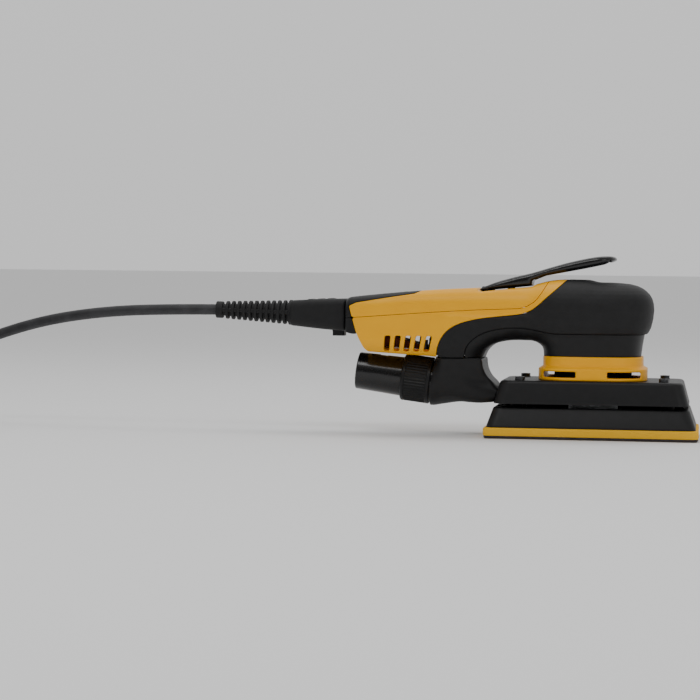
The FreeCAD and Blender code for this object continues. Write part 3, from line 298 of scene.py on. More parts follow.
def make_materials():
    yellow = (1.0, 0.46, 0.0)
    return {
        "yellow_plastic": moulded("yellow_plastic", yellow, 0.42, 3000, 0.000012, 0.03, 60),
        "black_rubber": moulded("black_rubber", (0.012, 0.012, 0.0125), 0.6, 2800, 0.00006, 0.1),
        "black_plastic": moulded("black_plastic", (0.009, 0.009, 0.0095), 0.45, 3200, 0.00002,
                                 0.1),
        "gloss_black": moulded("gloss_black", (0.007, 0.007, 0.0075), 0.2, 1500, 0.000006, 0.1,
                               shine=0.5),
        "cord_sheath": cord_paint(),
        "pad_foam": foam_paint(),
        "hook_fabric": moulded("hook_fabric", (0.05, 0.05, 0.055), 0.95, 1400, 0.00025, 0.3),
        "abrasive": net_paint(),
        "steel": metal("ground_steel", (0.62, 0.62, 0.64), 0.28, (1, 1, 8)),
        "screw_steel": metal("blackened_steel", (0.1, 0.1, 0.105), 0.4),
        "nickel": metal("nickel_plate", (0.78, 0.76, 0.7), 0.2, (1, 8, 8)),
        "aluminium": metal("cast_aluminium", (0.72, 0.73, 0.75), 0.45, scale=500),
        "iron_core": laminated_paint(),
        "copper": winding_paint(),
        "magnet": metal("plated_magnet", (0.55, 0.55, 0.58), 0.22),
        "board": board_paint(),
        "component": moulded("sleeving", (0.03, 0.03, 0.05), 0.35, 1200, 0.00002, 0.2),
        # The part behind the vent slots is real, but its dark reddish brown is painted shade: the
        # tone of the yellow inner walls in shadow, seen through the slots.
        "resin": moulded("resin_painted_shade", (0.17, 0.035, 0.012), 0.5, 700, 0.00004, 0.35),
        "lamp": moulded("lamp_lens", (0.35, 0.7, 0.3), 0.3, 900, 0.00001, 0.1),
    }


# ---------------------------------------------------------------- field tools

def curve_through(points, steps=10):
    """Points along a smooth curve through the given ones."""
    points = np.array(points, float)
    padded = np.vstack([2 * points[0] - points[1], points, 2 * points[-1] - points[-2]])
    made = []
    for a, b, c, d in zip(padded, padded[1:], padded[2:], padded[3:]):
        for step in range(steps):
            t = step / steps
            made.append(0.5 * (2 * b + (c - a) * t + (2 * a - 5 * b + 4 * c - d) * t ** 2
                               + (3 * b - a - 3 * c + d) * t ** 3))
    made.append(points[-1])
    return np.array(made)


class Outline:
    """The signed distance to a closed outline, negative inside, looked up on a fine grid."""

    STEP = 0.3

    def __init__(self, points, low, high):
        self.low = np.array(low, float)
        self.high = np.array(high, float)
        counts = np.ceil((self.high - self.low) / self.STEP).astype(int) + 1
        u = self.low[0] + self.STEP * np.arange(counts[0])
        v = self.low[1] + self.STEP * np.arange(counts[1])
        grid_u, grid_v = np.meshgrid(u, v, indexing="ij")
        nearest = np.full(grid_u.shape, 1e9)
        inside = np.zeros(grid_u.shape, bool)
        points = np.array(points, float)
        for start, end in zip(points, np.roll(points, -1, axis=0)):
            span = end - start
            square = max(float(span @ span), 1e-12)
            along = ((grid_u - start[0]) * span[0] + (grid_v - start[1]) * span[1]) / square
            along = np.clip(along, 0, 1)
            gap = (grid_u - start[0] - along * span[0]) ** 2
            gap += (grid_v - start[1] - along * span[1]) ** 2
            nearest = np.minimum(nearest, gap)
            if start[1] != end[1]:
                crosses = (start[1] > grid_v) != (end[1] > grid_v)
                where = start[0] + (grid_v - start[1]) * span[0] / span[1]
                inside ^= crosses & (grid_u < where)
        self.values = np.sqrt(nearest) * np.where(inside, -1, 1)

    def __call__(self, u, v):
        top = np.array(self.values.shape) - 1.001
        place_u = np.clip((u - self.low[0]) / self.STEP, 0, top[0])
        place_v = np.clip((v - self.low[1]) / self.STEP, 0, top[1])
        i, j = place_u.astype(int), place_v.astype(int)
        a, b = place_u - i, place_v - j
        table = self.values
        return ((1 - a) * (1 - b) * table[i, j] + a * (1 - b) * table[i + 1, j]
                + (1 - a) * b * table[i, j + 1] + a * b * table[i + 1, j + 1])


class Stations:
    """Columns of numbers along one axis, joined smoothly."""

    def __init__(self, rows):
        made = curve_through(rows, steps=16)
        self.at = made[:, 0]
        self.columns = made[:, 1:]

    def __call__(self, place, column):
        return np.interp(place, self.at, self.columns[:, column])


def joined(a, b, blend):
    """The union of two fields with a fillet."""
    near = np.maximum(blend - np.abs(a - b), 0) / blend
    return np.minimum(a, b) - near ** 2 * blend / 4


def meeting(a, b, blend):
    """The common part of two fields with a rounded edge."""
    return -joined(-a, -b, blend)


def rounded_rect(u, v, half_u, half_v, corner):
    reach_u = np.abs(u) - (half_u - corner)
    reach_v = np.abs(v) - (half_v - corner)
    outside = np.hypot(np.maximum(reach_u, 0), np.maximum(reach_v, 0))
    return outside + np.minimum(np.maximum(reach_u, reach_v), 0) - corner


def gradient(field, points, reach=0.02):
    parts = []
    for axis in range(3):
        step = np.zeros(3)
        step[axis] = reach
        parts.append((field(points + step) - field(points - step)) / (2 * reach))
    return np.stack(parts, axis=1)


def settle(field, points, level=0.0, rounds=4):
    """Points moved along the field's gradient to a level of it."""
    points = points.copy()
    for _ in range(rounds):
        slope = gradient(field, points)
        square = np.maximum((slope ** 2).sum(1), 1e-3)
        move = (field(points) - level) / square
        points -= np.clip(move, -1.5, 1.5)[:, None] * slope
    return points


def surface(field, low, high, step):
    """Quads on the zero level of a field, by surface nets, settled onto it."""
    low = np.array(low, float)
    counts = np.ceil((np.array(high, float) - low) / step).astype(int) + 1
    axes = [low[k] + step * np.arange(counts[k]) for k in range(3)]
    values = np.empty(counts)
    grid_y, grid_z = np.meshgrid(axes[1], axes[2], indexing="ij")
    layer = np.stack([np.zeros(grid_y.size), grid_y.ravel(), grid_z.ravel()], axis=1)
    for index, x in enumerate(axes[0]):
        layer[:, 0] = x
        values[index] = field(layer).reshape(grid_y.shape)
    inside = values < 0
    corners = [(i, j, k) for i in (0, 1) for j in (0, 1) for k in (0, 1)]
    cells = np.zeros(counts - 1, int)
    size_x, size_y, size_z = counts - 1
    for i, j, k in corners:
        cells += inside[i:i + size_x, j:j + size_y, k:k + size_z]
    active = (cells > 0) & (cells < 8)
    number = np.full(active.shape, -1)
    number[active] = np.arange(active.sum())
    at = np.argwhere(active)
    total = np.zeros((len(at), 3))
    weight = np.zeros(len(at))
    for first in corners:
        for axis in range(3):
            if first[axis]:
                continue
            second = tuple(first[k] + (k == axis) for k in range(3))
            value_a = values[tuple((at + first).T)]
            value_b = values[tuple((at + second).T)]
            crossing = (value_a < 0) != (value_b < 0)
            share = np.where(crossing, value_a / np.where(crossing, value_a - value_b, 1), 0)
            spot = at + np.array(first, float)
            spot[:, axis] += share
            total += spot * crossing[:, None]
            weight += crossing
    points = low + step * total / weight[:, None]
    quads = []
    for axis in range(3):
        side_a, side_b = (axis + 1) % 3, (axis + 2) % 3
        before = np.take(inside, np.arange(counts[axis] - 1), axis)
        after = np.take(inside, np.arange(1, counts[axis]), axis)
        edges = np.argwhere(before != after)
        edges = edges[(edges[:, side_a] > 0) & (edges[:, side_b] > 0)
                      & (edges[:, side_a] < counts[side_a] - 1)
                      & (edges[:, side_b] < counts[side_b] - 1)]
        ring = []
        for back_a, back_b in ((1, 1), (0, 1), (0, 0), (1, 0)):
            cell = edges.copy()
            cell[:, side_a] -= back_a
            cell[:, side_b] -= back_b
            ring.append(number[tuple(cell.T)])
        ring = np.stack(ring, axis=1)
        flip = ~inside[tuple(edges.T)]
        ring[flip] = ring[flip][:, ::-1]
        quads.append(ring)
    return settle(field, points, rounds=5), np.vstack(quads)


def clip(points, faces, region):
    """Faces kept where region is negative, cut along its zero line."""
    values = region(points)
    values = np.where(np.abs(values) < 1e-4, -1e-4, values)
    fresh = [tuple(point) for point in points]
    made = {}
    kept = []
    for face in faces:
        marks = [values[corner] < 0 for corner in face]
        if all(marks):
            kept.append(list(face))
            continue
        if not any(marks):
            continue
        polygon = []
        for corner, following, mark, after in zip(face, np.roll(face, -1), marks,
                                                  marks[1:] + marks[:1]):
            if mark:
                polygon.append(int(corner))
            if mark != after:
                key = (min(corner, following), max(corner, following))
                if key not in made:
                    a, b = values[key[0]], values[key[1]]
                    share = a / (a - b)
                    made[key] = len(fresh)
                    fresh.append(tuple(points[key[0]] * (1 - share) + points[key[1]] * share))
                polygon.append(made[key])
        if len(polygon) > 2:
            kept.append(polygon)
    return np.array(fresh), kept


def compact(points, faces):
    """Only the points that faces use, renumbered."""
    used = sorted({corner for face in faces for corner in face})
    number = {old: new for new, old in enumerate(used)}
    return points[used], [[number[corner] for corner in face] for face in faces]


def settle_pair(field, region, points, field_level, region_level, rounds=6):
    """Points moved to where field and region have given values."""
    points = points.copy()
    for _ in range(rounds):
        slope_f = gradient(field, points)
        slope_r = gradient(region, points)
        gap_f = field_level - field(points)
        gap_r = region_level - region(points)
        ff = (slope_f ** 2).sum(1)
        rr = (slope_r ** 2).sum(1)
        fr = (slope_f * slope_r).sum(1)
        scale = np.maximum(ff * rr - fr ** 2, 0.02 * ff * rr + 1e-6)
        share_f = (gap_f * rr - gap_r * fr) / scale
        share_r = (gap_r * ff - gap_f * fr) / scale
        move = share_f[:, None] * slope_f + share_r[:, None] * slope_r
        length = np.linalg.norm(move, axis=1)[:, None]
        points += move * np.minimum(1.0, 0.8 / np.maximum(length, 1e-9))
    return points


def shell(name, paint, field, region, low, high, step, wall, edge, node, gap=0.12):
    """A walled piece of a form: the part of field's surface where region is negative, with
    rounded edges, an inner face and a closing rim."""
    points, quads = surface(field, low, high, step)
    inset = edge + gap
    points, faces = clip(points, quads, lambda p: region(p) + inset)
    points, faces = compact(points, faces)
    counts = {}
    for face in faces:
        for a, b in zip(face, face[1:] + face[:1]):
            counts[(a, b)] = counts.get((a, b), 0) + 1
    border = [(a, b) for a, b in counts if (b, a) not in counts]
    rim = sorted({corner for pair in border for corner in pair})
    place = {corner: index for index, corner in enumerate(rim)}
    ring = settle_pair(field, region, points[rim], 0.0, -inset)
    points[rim] = ring
    total = [points]
    previous = np.array(rim)
    count = len(points)
    new_faces = []
    levels = [(-edge * (1 - math.cos(turn)), -gap - edge * (1 - math.sin(turn)))
              for turn in (math.radians(30), math.radians(60), math.radians(90))]
    levels.append((-wall, -gap))
    for level_f, level_r in levels:
        ring = settle_pair(field, region, ring, level_f, level_r)
        current = np.arange(count, count + len(ring))
        count += len(ring)
        total.append(ring)
        for a, b in border:
            new_faces.append([int(previous[place[b]]), int(previous[place[a]]),
                              int(current[place[a]]), int(current[place[b]])])
        previous = current
    inner = settle(field, points, -wall, 6)
    base = count
    total.append(inner)
    renumber = {corner: int(previous[place[corner]]) for corner in rim}
    inner_faces = [[renumber.get(corner, corner + base) for corner in reversed(face)]
                   for face in faces]
    everything = np.vstack(total)
    everything, all_faces = compact(everything, faces + new_faces + inner_faces)
    piece(name, everything, all_faces, paint, "housing", node)


def solid(name, paint, field, low, high, step, body, node):
    points, quads = surface(field, low, high, step)
    piece(name, points, quads.tolist(), paint, body, node)


def piece(name, points, faces, paint, body, node=None):
    """A mesh object in metres that rides on a body and may stand for a CAD node."""
    mesh = bpy.data.meshes.new(name)
    mesh.from_pydata((np.array(points) * MM).tolist(), [], faces)
    mesh.validate()
    mesh.polygons.foreach_set("use_smooth", [True] * len(mesh.polygons))
    obj = placed(name, mesh)
    mesh.materials.append(MATERIALS[paint])
    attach(obj, body)
    if node:
        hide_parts(node)
    return obj


# ---------------------------------------------------------------- structured meshes

CORNER_STEPS = 12


def plan_ring(half_x, half_y, corner, z, centre, teeth=0.0, side_steps=60):
    """Points around a rounded rectangle at one height; teeth lift every second point."""
    corner = min(corner, half_x, half_y)
    ring = []
    for index, (side_x, side_y) in enumerate(((1, 1), (-1, 1), (-1, -1), (1, -1))):
        for step in range(CORNER_STEPS + 1):
            turn = math.pi / 2 * (index + step / CORNER_STEPS)
            ring.append((side_x * (half_x - corner) + corner * math.cos(turn),
                         side_y * (half_y - corner) + corner * math.sin(turn)))
        end = ring[-1]
        after_x, after_y = ((-1, 1), (-1, -1), (1, -1), (1, 1))[index]
        turn = math.pi / 2 * (index + 1)
        start = (after_x * (half_x - corner) + corner * math.cos(turn),
                 after_y * (half_y - corner) + corner * math.sin(turn))
        for step in range(1, side_steps):
            share = step / side_steps
            ring.append((end[0] + (start[0] - end[0]) * share,
                         end[1] + (start[1] - end[1]) * share))
    return [(centre[0] + x, centre[1] + y, z + teeth * (index % 2))
            for index, (x, y) in enumerate(ring)]


def bands(rings, closed):
    """Quads between successive rings of points; the ends are capped unless closed."""
    width = len(rings[0])
    points = [point for ring in rings for point in ring]
    faces = []
    pairs = list(zip(range(len(rings)), range(1, len(rings))))
    if closed:
        pairs.append((len(rings) - 1, 0))
    for low, high in pairs:
        for index in range(width):
            after = (index + 1) % width
            faces.append([low * width + index, low * width + after,
                          high * width + after, high * width + index])
    if not closed:
        faces.append(list(reversed(range(width))))
        faces.append(list(range((len(rings) - 1) * width, len(rings) * width)))
    return points, faces


def rounded_rows(corners, radius, steps=3):
    """A profile of (inset, height) corners with its inner corners rounded off."""
    rows = [corners[0]]
    for before, corner, after in zip(corners, corners[1:], corners[2:]):
        spot, back, ahead = (np.array(place, float) for place in (corner, before, after))
        back, ahead = back - spot, ahead - spot
        reach = min(radius, 0.45 * np.linalg.norm(back), 0.45 * np.linalg.norm(ahead))
        start = spot + back / np.linalg.norm(back) * reach
        end = spot + ahead / np.linalg.norm(ahead) * reach
        for step in range(steps + 1):
            t = step / steps
            rows.append(tuple((1 - t) ** 2 * start + 2 * t * (1 - t) * spot + t * t * end))
    rows.append(corners[-1])
    return rows


def plan_solid(name, paint, half_x, half_y, corner, profile, body, node, edge=0.8,
               centre=(0.0, 0.0)):
    """A rounded-rectangle solid whose side follows a profile of (inset, height)."""
    rings = [plan_ring(half_x - inset, half_y - inset, max(corner - 0.5 * inset, 0.5), z, centre)
             for inset, z in rounded_rows(profile, edge)]
    points, faces = bands(rings, False)
    return sharpened(piece(name, points, faces, paint, body, node))


def sharpened(obj, degrees=40):
    """Smooth shading that stops at real edges."""
    mesh = bmesh.new()
    mesh.from_mesh(obj.data)
    bmesh.ops.recalc_face_normals(mesh, faces=mesh.faces)
    for edge in mesh.edges:
        if len(edge.link_faces) == 2:
            edge.smooth = edge.calc_face_angle() < math.radians(degrees)
    mesh.to_mesh(obj.data)
    mesh.free()
    return obj


def turned_solid(name, paint, start, along, rows, body, node, radius_at=None, columns=96,
                 closed=False):
    """A turned piece of (distance, radius) rows along an axis; radius_at may vary it round."""
    along = Vector(along).normalized()
    side = along.cross(Vector((0, 0, 1))).normalized()
    up = side.cross(along)
    rings = []
    for distance, radius in rows:
        ring = []
        for index in range(columns):
            turn = 2 * math.pi * index / columns
            reach = radius_at(distance, radius, turn) if radius_at else radius
            place = (Vector(start) + along * distance
                     + side * reach * math.cos(turn) + up * reach * math.sin(turn))
            ring.append(tuple(place))
        rings.append(ring)
    points, faces = bands(rings, closed)
    return sharpened(piece(name, points, faces, paint, body, node))


# ---------------------------------------------------------------- cord, coil, tie and plug

CORD_ROUTE = [(-243.0, 0.0, 77.05), (-284.0, 1.0, 76.8), (-325.0, 8.0, 74.0),
              (-363.5, 19.5, 67.9), (-399.5, 30.0, 57.6), (-433.0, 38.0, 44.6),
              (-466.5, 43.3, 32.4), (-499.0, 45.0, 25.6)]
TAIL_ROUTE = [(-497.0, -48.5, 3.5), (-482.0, -48.4, 6.4), (-468.0, -48.3, 14.0),
              (-453.5, -48.3, 18.8)]
CORD_RADIUS = 3.45
COIL_CENTRE = (-505.0, 0.0)
COIL_INNER, COIL_OUTER, COIL_HEIGHT = 23.8, 52.2, 27.8
COIL_COLUMNS, COIL_LAYERS = 4, 4
TURN_POINTS = 16


def coil_points():
    """The turns from the outermost of the top layer to the outermost of the bottom one."""
    turns = COIL_COLUMNS * COIL_LAYERS
    first = (COIL_LAYERS - 1) * 2 * CORD_RADIUS + CORD_RADIUS
    widest = COIL_OUTER - CORD_RADIUS - 0.2
    tightest = COIL_INNER + CORD_RADIUS + 0.2
    pitch = (widest - tightest) / (COIL_COLUMNS - 1)
    spread = 1 / math.cos(math.pi / TURN_POINTS)
    total = turns * TURN_POINTS - TURN_POINTS // 2
    points = []
    for count in range(1, total):
        angle = math.radians(90) + 2 * math.pi * count / TURN_POINTS
        progress = count / total * turns
        layer = min(int(progress // COIL_COLUMNS), COIL_LAYERS - 1)
        within = progress - layer * COIL_COLUMNS
        column = min(within, COIL_COLUMNS - 1)
        climb = max(0.0, within - (COIL_COLUMNS - 1))
        if layer == COIL_LAYERS - 1:
            climb = 0.0
        if layer % 2:
            column = COIL_COLUMNS - 1 - column
        radius = (widest - column * pitch) * spread
        points.append((COIL_CENTRE[0] + radius * math.cos(angle),
                       COIL_CENTRE[1] + radius * math.sin(angle),
                       first - (layer + climb) * 2 * CORD_RADIUS))
    return points


def make_cord(parts):
    """One smooth cord: down from the relief, round the coil and into the mains plug."""
    route = CORD_ROUTE + coil_points() + TAIL_ROUTE
    data = bpy.data.curves.new("mains_cord", "CURVE")
    data.dimensions = "3D"
    spline = data.splines.new("NURBS")
    spline.points.add(len(route) - 1)
    for point, place in zip(spline.points, route):
        point.co = (*(value * MM for value in place), 1)
    spline.order_u = 3
    spline.use_endpoint_u = True
    data.bevel_depth = CORD_RADIUS * MM
    data.bevel_resolution = 6
    data.resolution_u = 6
    data.use_fill_caps = True
    cord = placed("mains_cord", data)
    data.materials.append(MATERIALS["cord_sheath"])
    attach(cord, "lead")
    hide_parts("power_cord", "cord_coil", "cord_tail")


def make_cord_tie():
    """A woven strap round the coil's bundle, with its free end lapped over."""
    centre_x = COIL_CENTRE[0] - (COIL_INNER + COIL_OUTER) / 2
    half = (COIL_OUTER - COIL_INNER) / 2
    rings = []
    thickness, half_width, lap = 1.2, 6.0, 5
    for index in range(5):
        y = -half_width + half_width * index / 2
        edge = 0.25 if index in (0, 4) else 0.0
        rings.append([(x, y, z) for x, z in strap_line(half + thickness - edge,
                                                       COIL_HEIGHT + thickness - edge, edge)])
    for index in range(5):
        y = half_width - half_width * index / 2
        rings.append([(x, y, z) for x, z in strap_line(half, COIL_HEIGHT, thickness)])
    points, faces = bands(rings, True)
    points = [(centre_x + x, y + COIL_CENTRE[1], z) for x, y, z in points]
    strap = sharpened(piece("tie_strap", points, faces, "hook_fabric", "lead", "cord_tie"))
    tab = []
    for index in range(lap):
        z = 5.0 + 14.0 * index / (lap - 1)
        wide = half_width - (0.8 if index in (0, lap - 1) else 0.0)
        tab.append([(-half - thickness - 0.1, -wide, z), (-half - thickness - 0.1, wide, z),
                    (-half - thickness - 1.0, wide - 0.3, z),
                    (-half - thickness - 1.0, -wide + 0.3, z)])
    points, faces = bands(tab, False)
    points = [(centre_x + x + 0.9, y + COIL_CENTRE[1], z) for x, y, z in points]
    end = sharpened(piece("tie_end", points, faces, "hook_fabric", "lead"))
    return [strap, end]


def strap_line(half, top, low):
    """A rounded loop in the plane across the bundle."""
    corner = 3.0
    height = (top - low) / 2
    ring = []
    for index, (side_x, side_z) in enumerate(((1, 1), (-1, 1), (-1, -1), (1, -1))):
        for step in range(7):
            turn = math.pi / 2 * (index + step / 6)
            ring.append((side_x * (half - corner) + corner * math.cos(turn),
                         low + height + side_z * (height - corner) + corner * math.sin(turn)))
    return ring


CLIP_HEIGHT = 17.2
CLIP_SECTION = [(-2.8, -1.0), (2.8, -1.0), (2.8, 0.9), (2.0, 1.2), (-2.0, 1.2), (-2.8, 0.9)]


def make_mains_plug():
    """A round moulded plug with a ribbed tail, a finger grip and two earth clips."""
    low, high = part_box("mains_plug")
    radius = (high.z - low.z) / 2 / MM
    centre = Vector((low.x / MM, (low.y + high.y) / 2 / MM, radius))
    tail = [(0.0, 5.0)]
    for index in range(4):
        rise = 5.2 + 0.85 * index
        start = 0.4 + 2.4 * index
        tail += [(start, rise), (start + 1.3, rise + 0.2), (start + 1.5, rise - 0.9),
                 (start + 2.3, rise - 0.9)]
    grip = [(10.0, 10.2), (10.5, 11.0), (13.0, 11.2), (13.8, 11.4), (16.0, 12.6), (19.5, 15.0),
            (22.5, 17.4), (23.8, 18.4), (24.8, 18.8), (31.0, 18.8), (31.4, 18.3), (32.0, 18.3),
            (32.4, 18.8), (39.6, 18.8), (40.4, 18.2), (40.6, 17.4), (40.6, 15.2), (39.8, 15.0)]

    def grooved(distance, reach, turn):
        if 14.5 < distance < 24.0:
            return reach - 0.35 * (1 + math.cos(18 * turn)) * min(1, (24.0 - distance) / 2)
        return reach

    body = turned_solid("mains_plug_body", "black_rubber", centre, (1, 0, 0), tail + grip, "lead",
                        "mains_plug", grooved, 144)
    clips = []
    for side in (-1, 1):
        rings = [[(centre.x + distance, centre.y + side * (CLIP_HEIGHT + rise), radius + across)
                  for across, rise in CLIP_SECTION] for distance in (34.6, 41.0)]
        points, faces = bands(rings, False)
        clips.append(sharpened(piece(f"earth_clip_{1 + (side > 0)}", points, faces, "nickel",
                                     "lead")))
    return [body] + clips


RELIEF_REAR, RELIEF_FRONT = Vector((-243.0, 0.0, 77.05)), Vector((-193.5, 0.0, 75.8))
RELIEF_SMALL, RELIEF_LARGE, RELIEF_GROOVE = 5.4, 8.0, 1.9
RELIEF_DISCS, RELIEF_FIRST, RELIEF_PITCH = 11, 6.6, 3.75


def make_strain_relief():
    """Discs on a core that thickens to the plug, bridged along both sides by a web."""
    length = (RELIEF_FRONT - RELIEF_REAR).length

    def full(distance):
        return RELIEF_SMALL + (RELIEF_LARGE - RELIEF_SMALL) * min(max(distance / length, 0), 1)

    rows = [(0.0, RELIEF_SMALL - 1.6), (0.0, RELIEF_SMALL - 0.5), (0.15, RELIEF_SMALL - 0.15),
            (0.5, RELIEF_SMALL), (4.1, RELIEF_SMALL), (4.5, RELIEF_SMALL - 0.2),
            (4.6, RELIEF_SMALL - 0.6), (4.7, full(4.7) - RELIEF_GROOVE)]
    for index in range(RELIEF_DISCS):
        start = RELIEF_FIRST + index * RELIEF_PITCH
        top = full(start)
        rows += [(start - 0.05, top - RELIEF_GROOVE), (start, top - 0.5),
                 (start + 0.12, top - 0.15), (start + 0.4, top), (start + 1.5, top),
                 (start + 1.78, top - 0.15), (start + 1.9, top - 0.5),
                 (start + 1.95, top - RELIEF_GROOVE)]
    rows += [(length - 1.9, RELIEF_LARGE - RELIEF_GROOVE), (length - 1.8, RELIEF_LARGE - 0.4),
             (length - 1.5, RELIEF_LARGE), (length, RELIEF_LARGE)]

    def webbed(distance, radius, turn):
        web = full(distance) - 0.55
        away = abs(math.sin(turn)) * web
        if 4.0 < distance < length - 1.0 and away < 1.7:
            blend = min(max((1.7 - away) / 0.7, 0), 1)
            return max(radius, radius + (web - radius) * blend)
        return radius

    return turned_solid("bend_relief", "black_rubber", RELIEF_REAR, RELIEF_FRONT - RELIEF_REAR,
                        rows, "lead", "strain_relief", webbed, 120)


# ---------------------------------------------------------------- the form of the machine

HANDLE = Stations([(-160.0, 20.6, 52.9, 85.7, 7.0), (-156.3, 21.0, 52.6, 86.1, 7.0),
                   (-140.0, 25.0, 51.9, 88.0, 8.0), (-120.0, 26.4, 50.8, 90.0, 8.0),
                   (-98.0, 26.2, 49.6, 91.7, 9.0), (-74.0, 25.0, 49.2, 93.0, 10.0),
                   (-56.0, 24.4, 49.2, 93.9, 11.0), (-38.0, 24.8, 49.2, 94.6, 12.0),
                   (-22.0, 26.0, 51.5, 95.4, 12.0), (-6.0, 26.0, 51.5, 94.6, 12.0)])
HANDLE_REAR, HANDLE_FRONT = -156.3, -6.0
STRUT = Stations([(40.0, -77.5, 19.0, 22.0), (49.1, -77.0, 20.0, 22.5), (56.0, -76.0, 21.0, 23.0),
                  (64.0, -72.0, 25.0, 23.2), (74.0, -70.0, 28.0, 23.4)])
HEAD_X, HEAD_Y = 37.6, 35.0
HEAD_PROFILE = Outline(
    [(-60, 38), (-6.3, 38), (-6.2, 51), (-5.4, 58), (-4.4, 64.3), (-3.0, 66.2), (-1.6, 69.4),
     (-0.5, 74.5), (0, 80), (-0.3, 84), (-1.2, 87.3), (-2.7, 90), (-4.8, 92.2), (-7.2, 94),
     (-10.1, 95.4), (-14, 96.4), (-19, 97), (-25, 97.3), (-60, 97.4)], (-45, 36), (12, 110))
OPENING_LINE = [(-31.6, 47), (-31.9, 54.4), (-33.6, 57.3), (-36.9, 59.1), (-42, 59.8),
                (-50.7, 59.7), (-57.8, 58.3), (-63.1, 56.2), (-67, 52.4), (-68.6, 48),
                (-68, 42.5), (-65.5, 37.5), (-61.8, 33.8)]
OPENING = Outline(list(curve_through(OPENING_LINE, steps=5)) + [(-50, 20), (-31.6, 20)],
                  (-100, 15), (0, 75))
GRIP_LINE = [(-97.8, 44), (-97.8, 48), (-96.9, 54.2), (-95.3, 59.2), (-92.4, 64), (-88.2, 67.8),
             (-82, 70.9), (-71.2, 73.7), (-57, 75.5), (-46, 76.8), (-39.5, 78.8), (-34.2, 82.2),
             (-27.8, 88), (-20.8, 94.2), (-15.5, 99.5), (-11, 104)]
SEAM_LINE = [(-79.6, 40), (-79.5, 48), (-79.2, 53), (-77.6, 57), (-74, 61), (-67.8, 64.7),
             (-60.6, 66.9), (-52, 68.1), (-44, 68.1), (-36, 67.1), (-28.5, 65.6), (-22, 65)]
PARTING_LINE = [(-168, 72.2), (-160, 72.8), (-129, 75.3), (-100, 77.5), (-72, 79.3), (-52, 80.2),
                (-43.5, 81), (-36.7, 84.5), (-32.2, 89.6), (-27.6, 98), (-25, 104)]
YELLOW_REAR = [(-139.9, 45), (-140.9, 51), (-143.4, 53.8), (-145.2, 57), (-148.6, 63.9),
               (-151.4, 72.9), (-153.7, 80.9)]
PANEL_LINE = [(-148.8, 83.1), (-129.2, 86.4), (-111.6, 89.2), (-106, 92), (-102, 95.2)]
SIDE_WINDOW = (-175, 25), (60, 112)
RIGHT_OF_GRIP = Outline(list(curve_through(GRIP_LINE, steps=5))
                        + [(62, 104), (62, 30), (-97.8, 30)], *SIDE_WINDOW)
ABOVE_SEAM = Outline(list(curve_through(SEAM_LINE, steps=5))
                     + [(62, 65), (62, 122), (-150, 122), (-150, 40)], *SIDE_WINDOW)
ABOVE_PARTING = Outline(list(curve_through(PARTING_LINE, steps=5))
                        + [(-25, 125), (-190, 125), (-190, 72.2)], *SIDE_WINDOW)
BLACK_REAR = Outline(list(curve_through(YELLOW_REAR, steps=5)) + PANEL_LINE
                     + [(-102, 125), (-190, 125), (-190, 45)], *SIDE_WINDOW)
FRAME_FLOOR = Outline([(-190, 69.4), (-160, 64.9), (-151.6, 63.1), (-60, 63.1), (-60, 20),
                       (-190, 20)], *SIDE_WINDOW)
RING_TOP, STRUT_FOOT, YELLOW_FLOOR = 51.0, 49.1, 49.3
LEVER_SEAT = Outline([(-73.9, 103), (-73.2, 94), (-72.2, 91.4), (-70, 90.8), (-38, 94.4),
                      (-34, 103)], (-100, 80), (0, 112))


def head(p):
    norm = (np.abs(p[:, 0]) / HEAD_X) ** 3 + (np.abs(p[:, 1]) / HEAD_Y) ** 3
    return HEAD_PROFILE((norm ** (1 / 3) - 1) * HEAD_Y, p[:, 2])


def handle(p):
    x = p[:, 0]
    low, top = HANDLE(x, 1), HANDLE(x, 2)
    sides = rounded_rect(p[:, 1], p[:, 2] - (low + top) / 2, HANDLE(x, 0), (top - low) / 2,
                         HANDLE(x, 3))
    return meeting(sides, np.maximum(HANDLE_REAR - x, x - HANDLE_FRONT), 4.0)


def strut(p):
    z = p[:, 2]
    sides = rounded_rect(p[:, 0] - STRUT(z, 0), p[:, 1], STRUT(z, 1), STRUT(z, 2), 9.0)
    return np.maximum(sides, np.maximum(38.0 - z, z - 72.0))


def throat(p):
    """Fills the corner between handle and neck, for the opening to shape."""
    sides = rounded_rect(p[:, 0] + 21.0, p[:, 1], 24.0, 24.5, 10.0)
    return np.maximum(sides, np.maximum(38.0 - p[:, 2], p[:, 2] - 72.0))


def form(p):
    """The whole outer form: head, handle and strut, with the hand opening through it."""
    whole = joined(joined(handle(p), head(p), 11.0), strut(p), 7.0)
    whole = joined(whole, throat(p), 7.0)
    return meeting(whole, -OPENING(p[:, 0], p[:, 2]), 15.0)


def side_view(outline):
    return lambda p: outline(p[:, 0], p[:, 2])


def common(*regions):
    return lambda p: np.maximum.reduce([region(p) for region in regions])


def outside(region):
    return lambda p: -region(p)


def above(height):
    return lambda p: height - p[:, 2]


RIGHT, SEAM, PARTING = (side_view(shape) for shape in (RIGHT_OF_GRIP, ABOVE_SEAM, ABOVE_PARTING))
REAR, FRAME_UNDER = side_view(BLACK_REAR), side_view(FRAME_FLOOR)
INLET_Z = 74.5


def floor_region(p):
    """Above the ring under the head, and above the strut's foot behind it."""
    return np.where(p[:, 0] > -50.0, RING_TOP, STRUT_FOOT) - p[:, 2]


def inlet_hole(p):
    hole = rounded_rect(p[:, 1], p[:, 2] - INLET_Z, 12.0, 8.5, 2.0)
    return np.maximum(hole, p[:, 0] + 140.0)


def lever_well(p):
    return rounded_rect(p[:, 0] + 53.5, p[:, 1], 17.5, 15.2, 1.5)


SLOTS, SLOT_PITCH, SLOT_HALF = 5, 6.3, 1.7


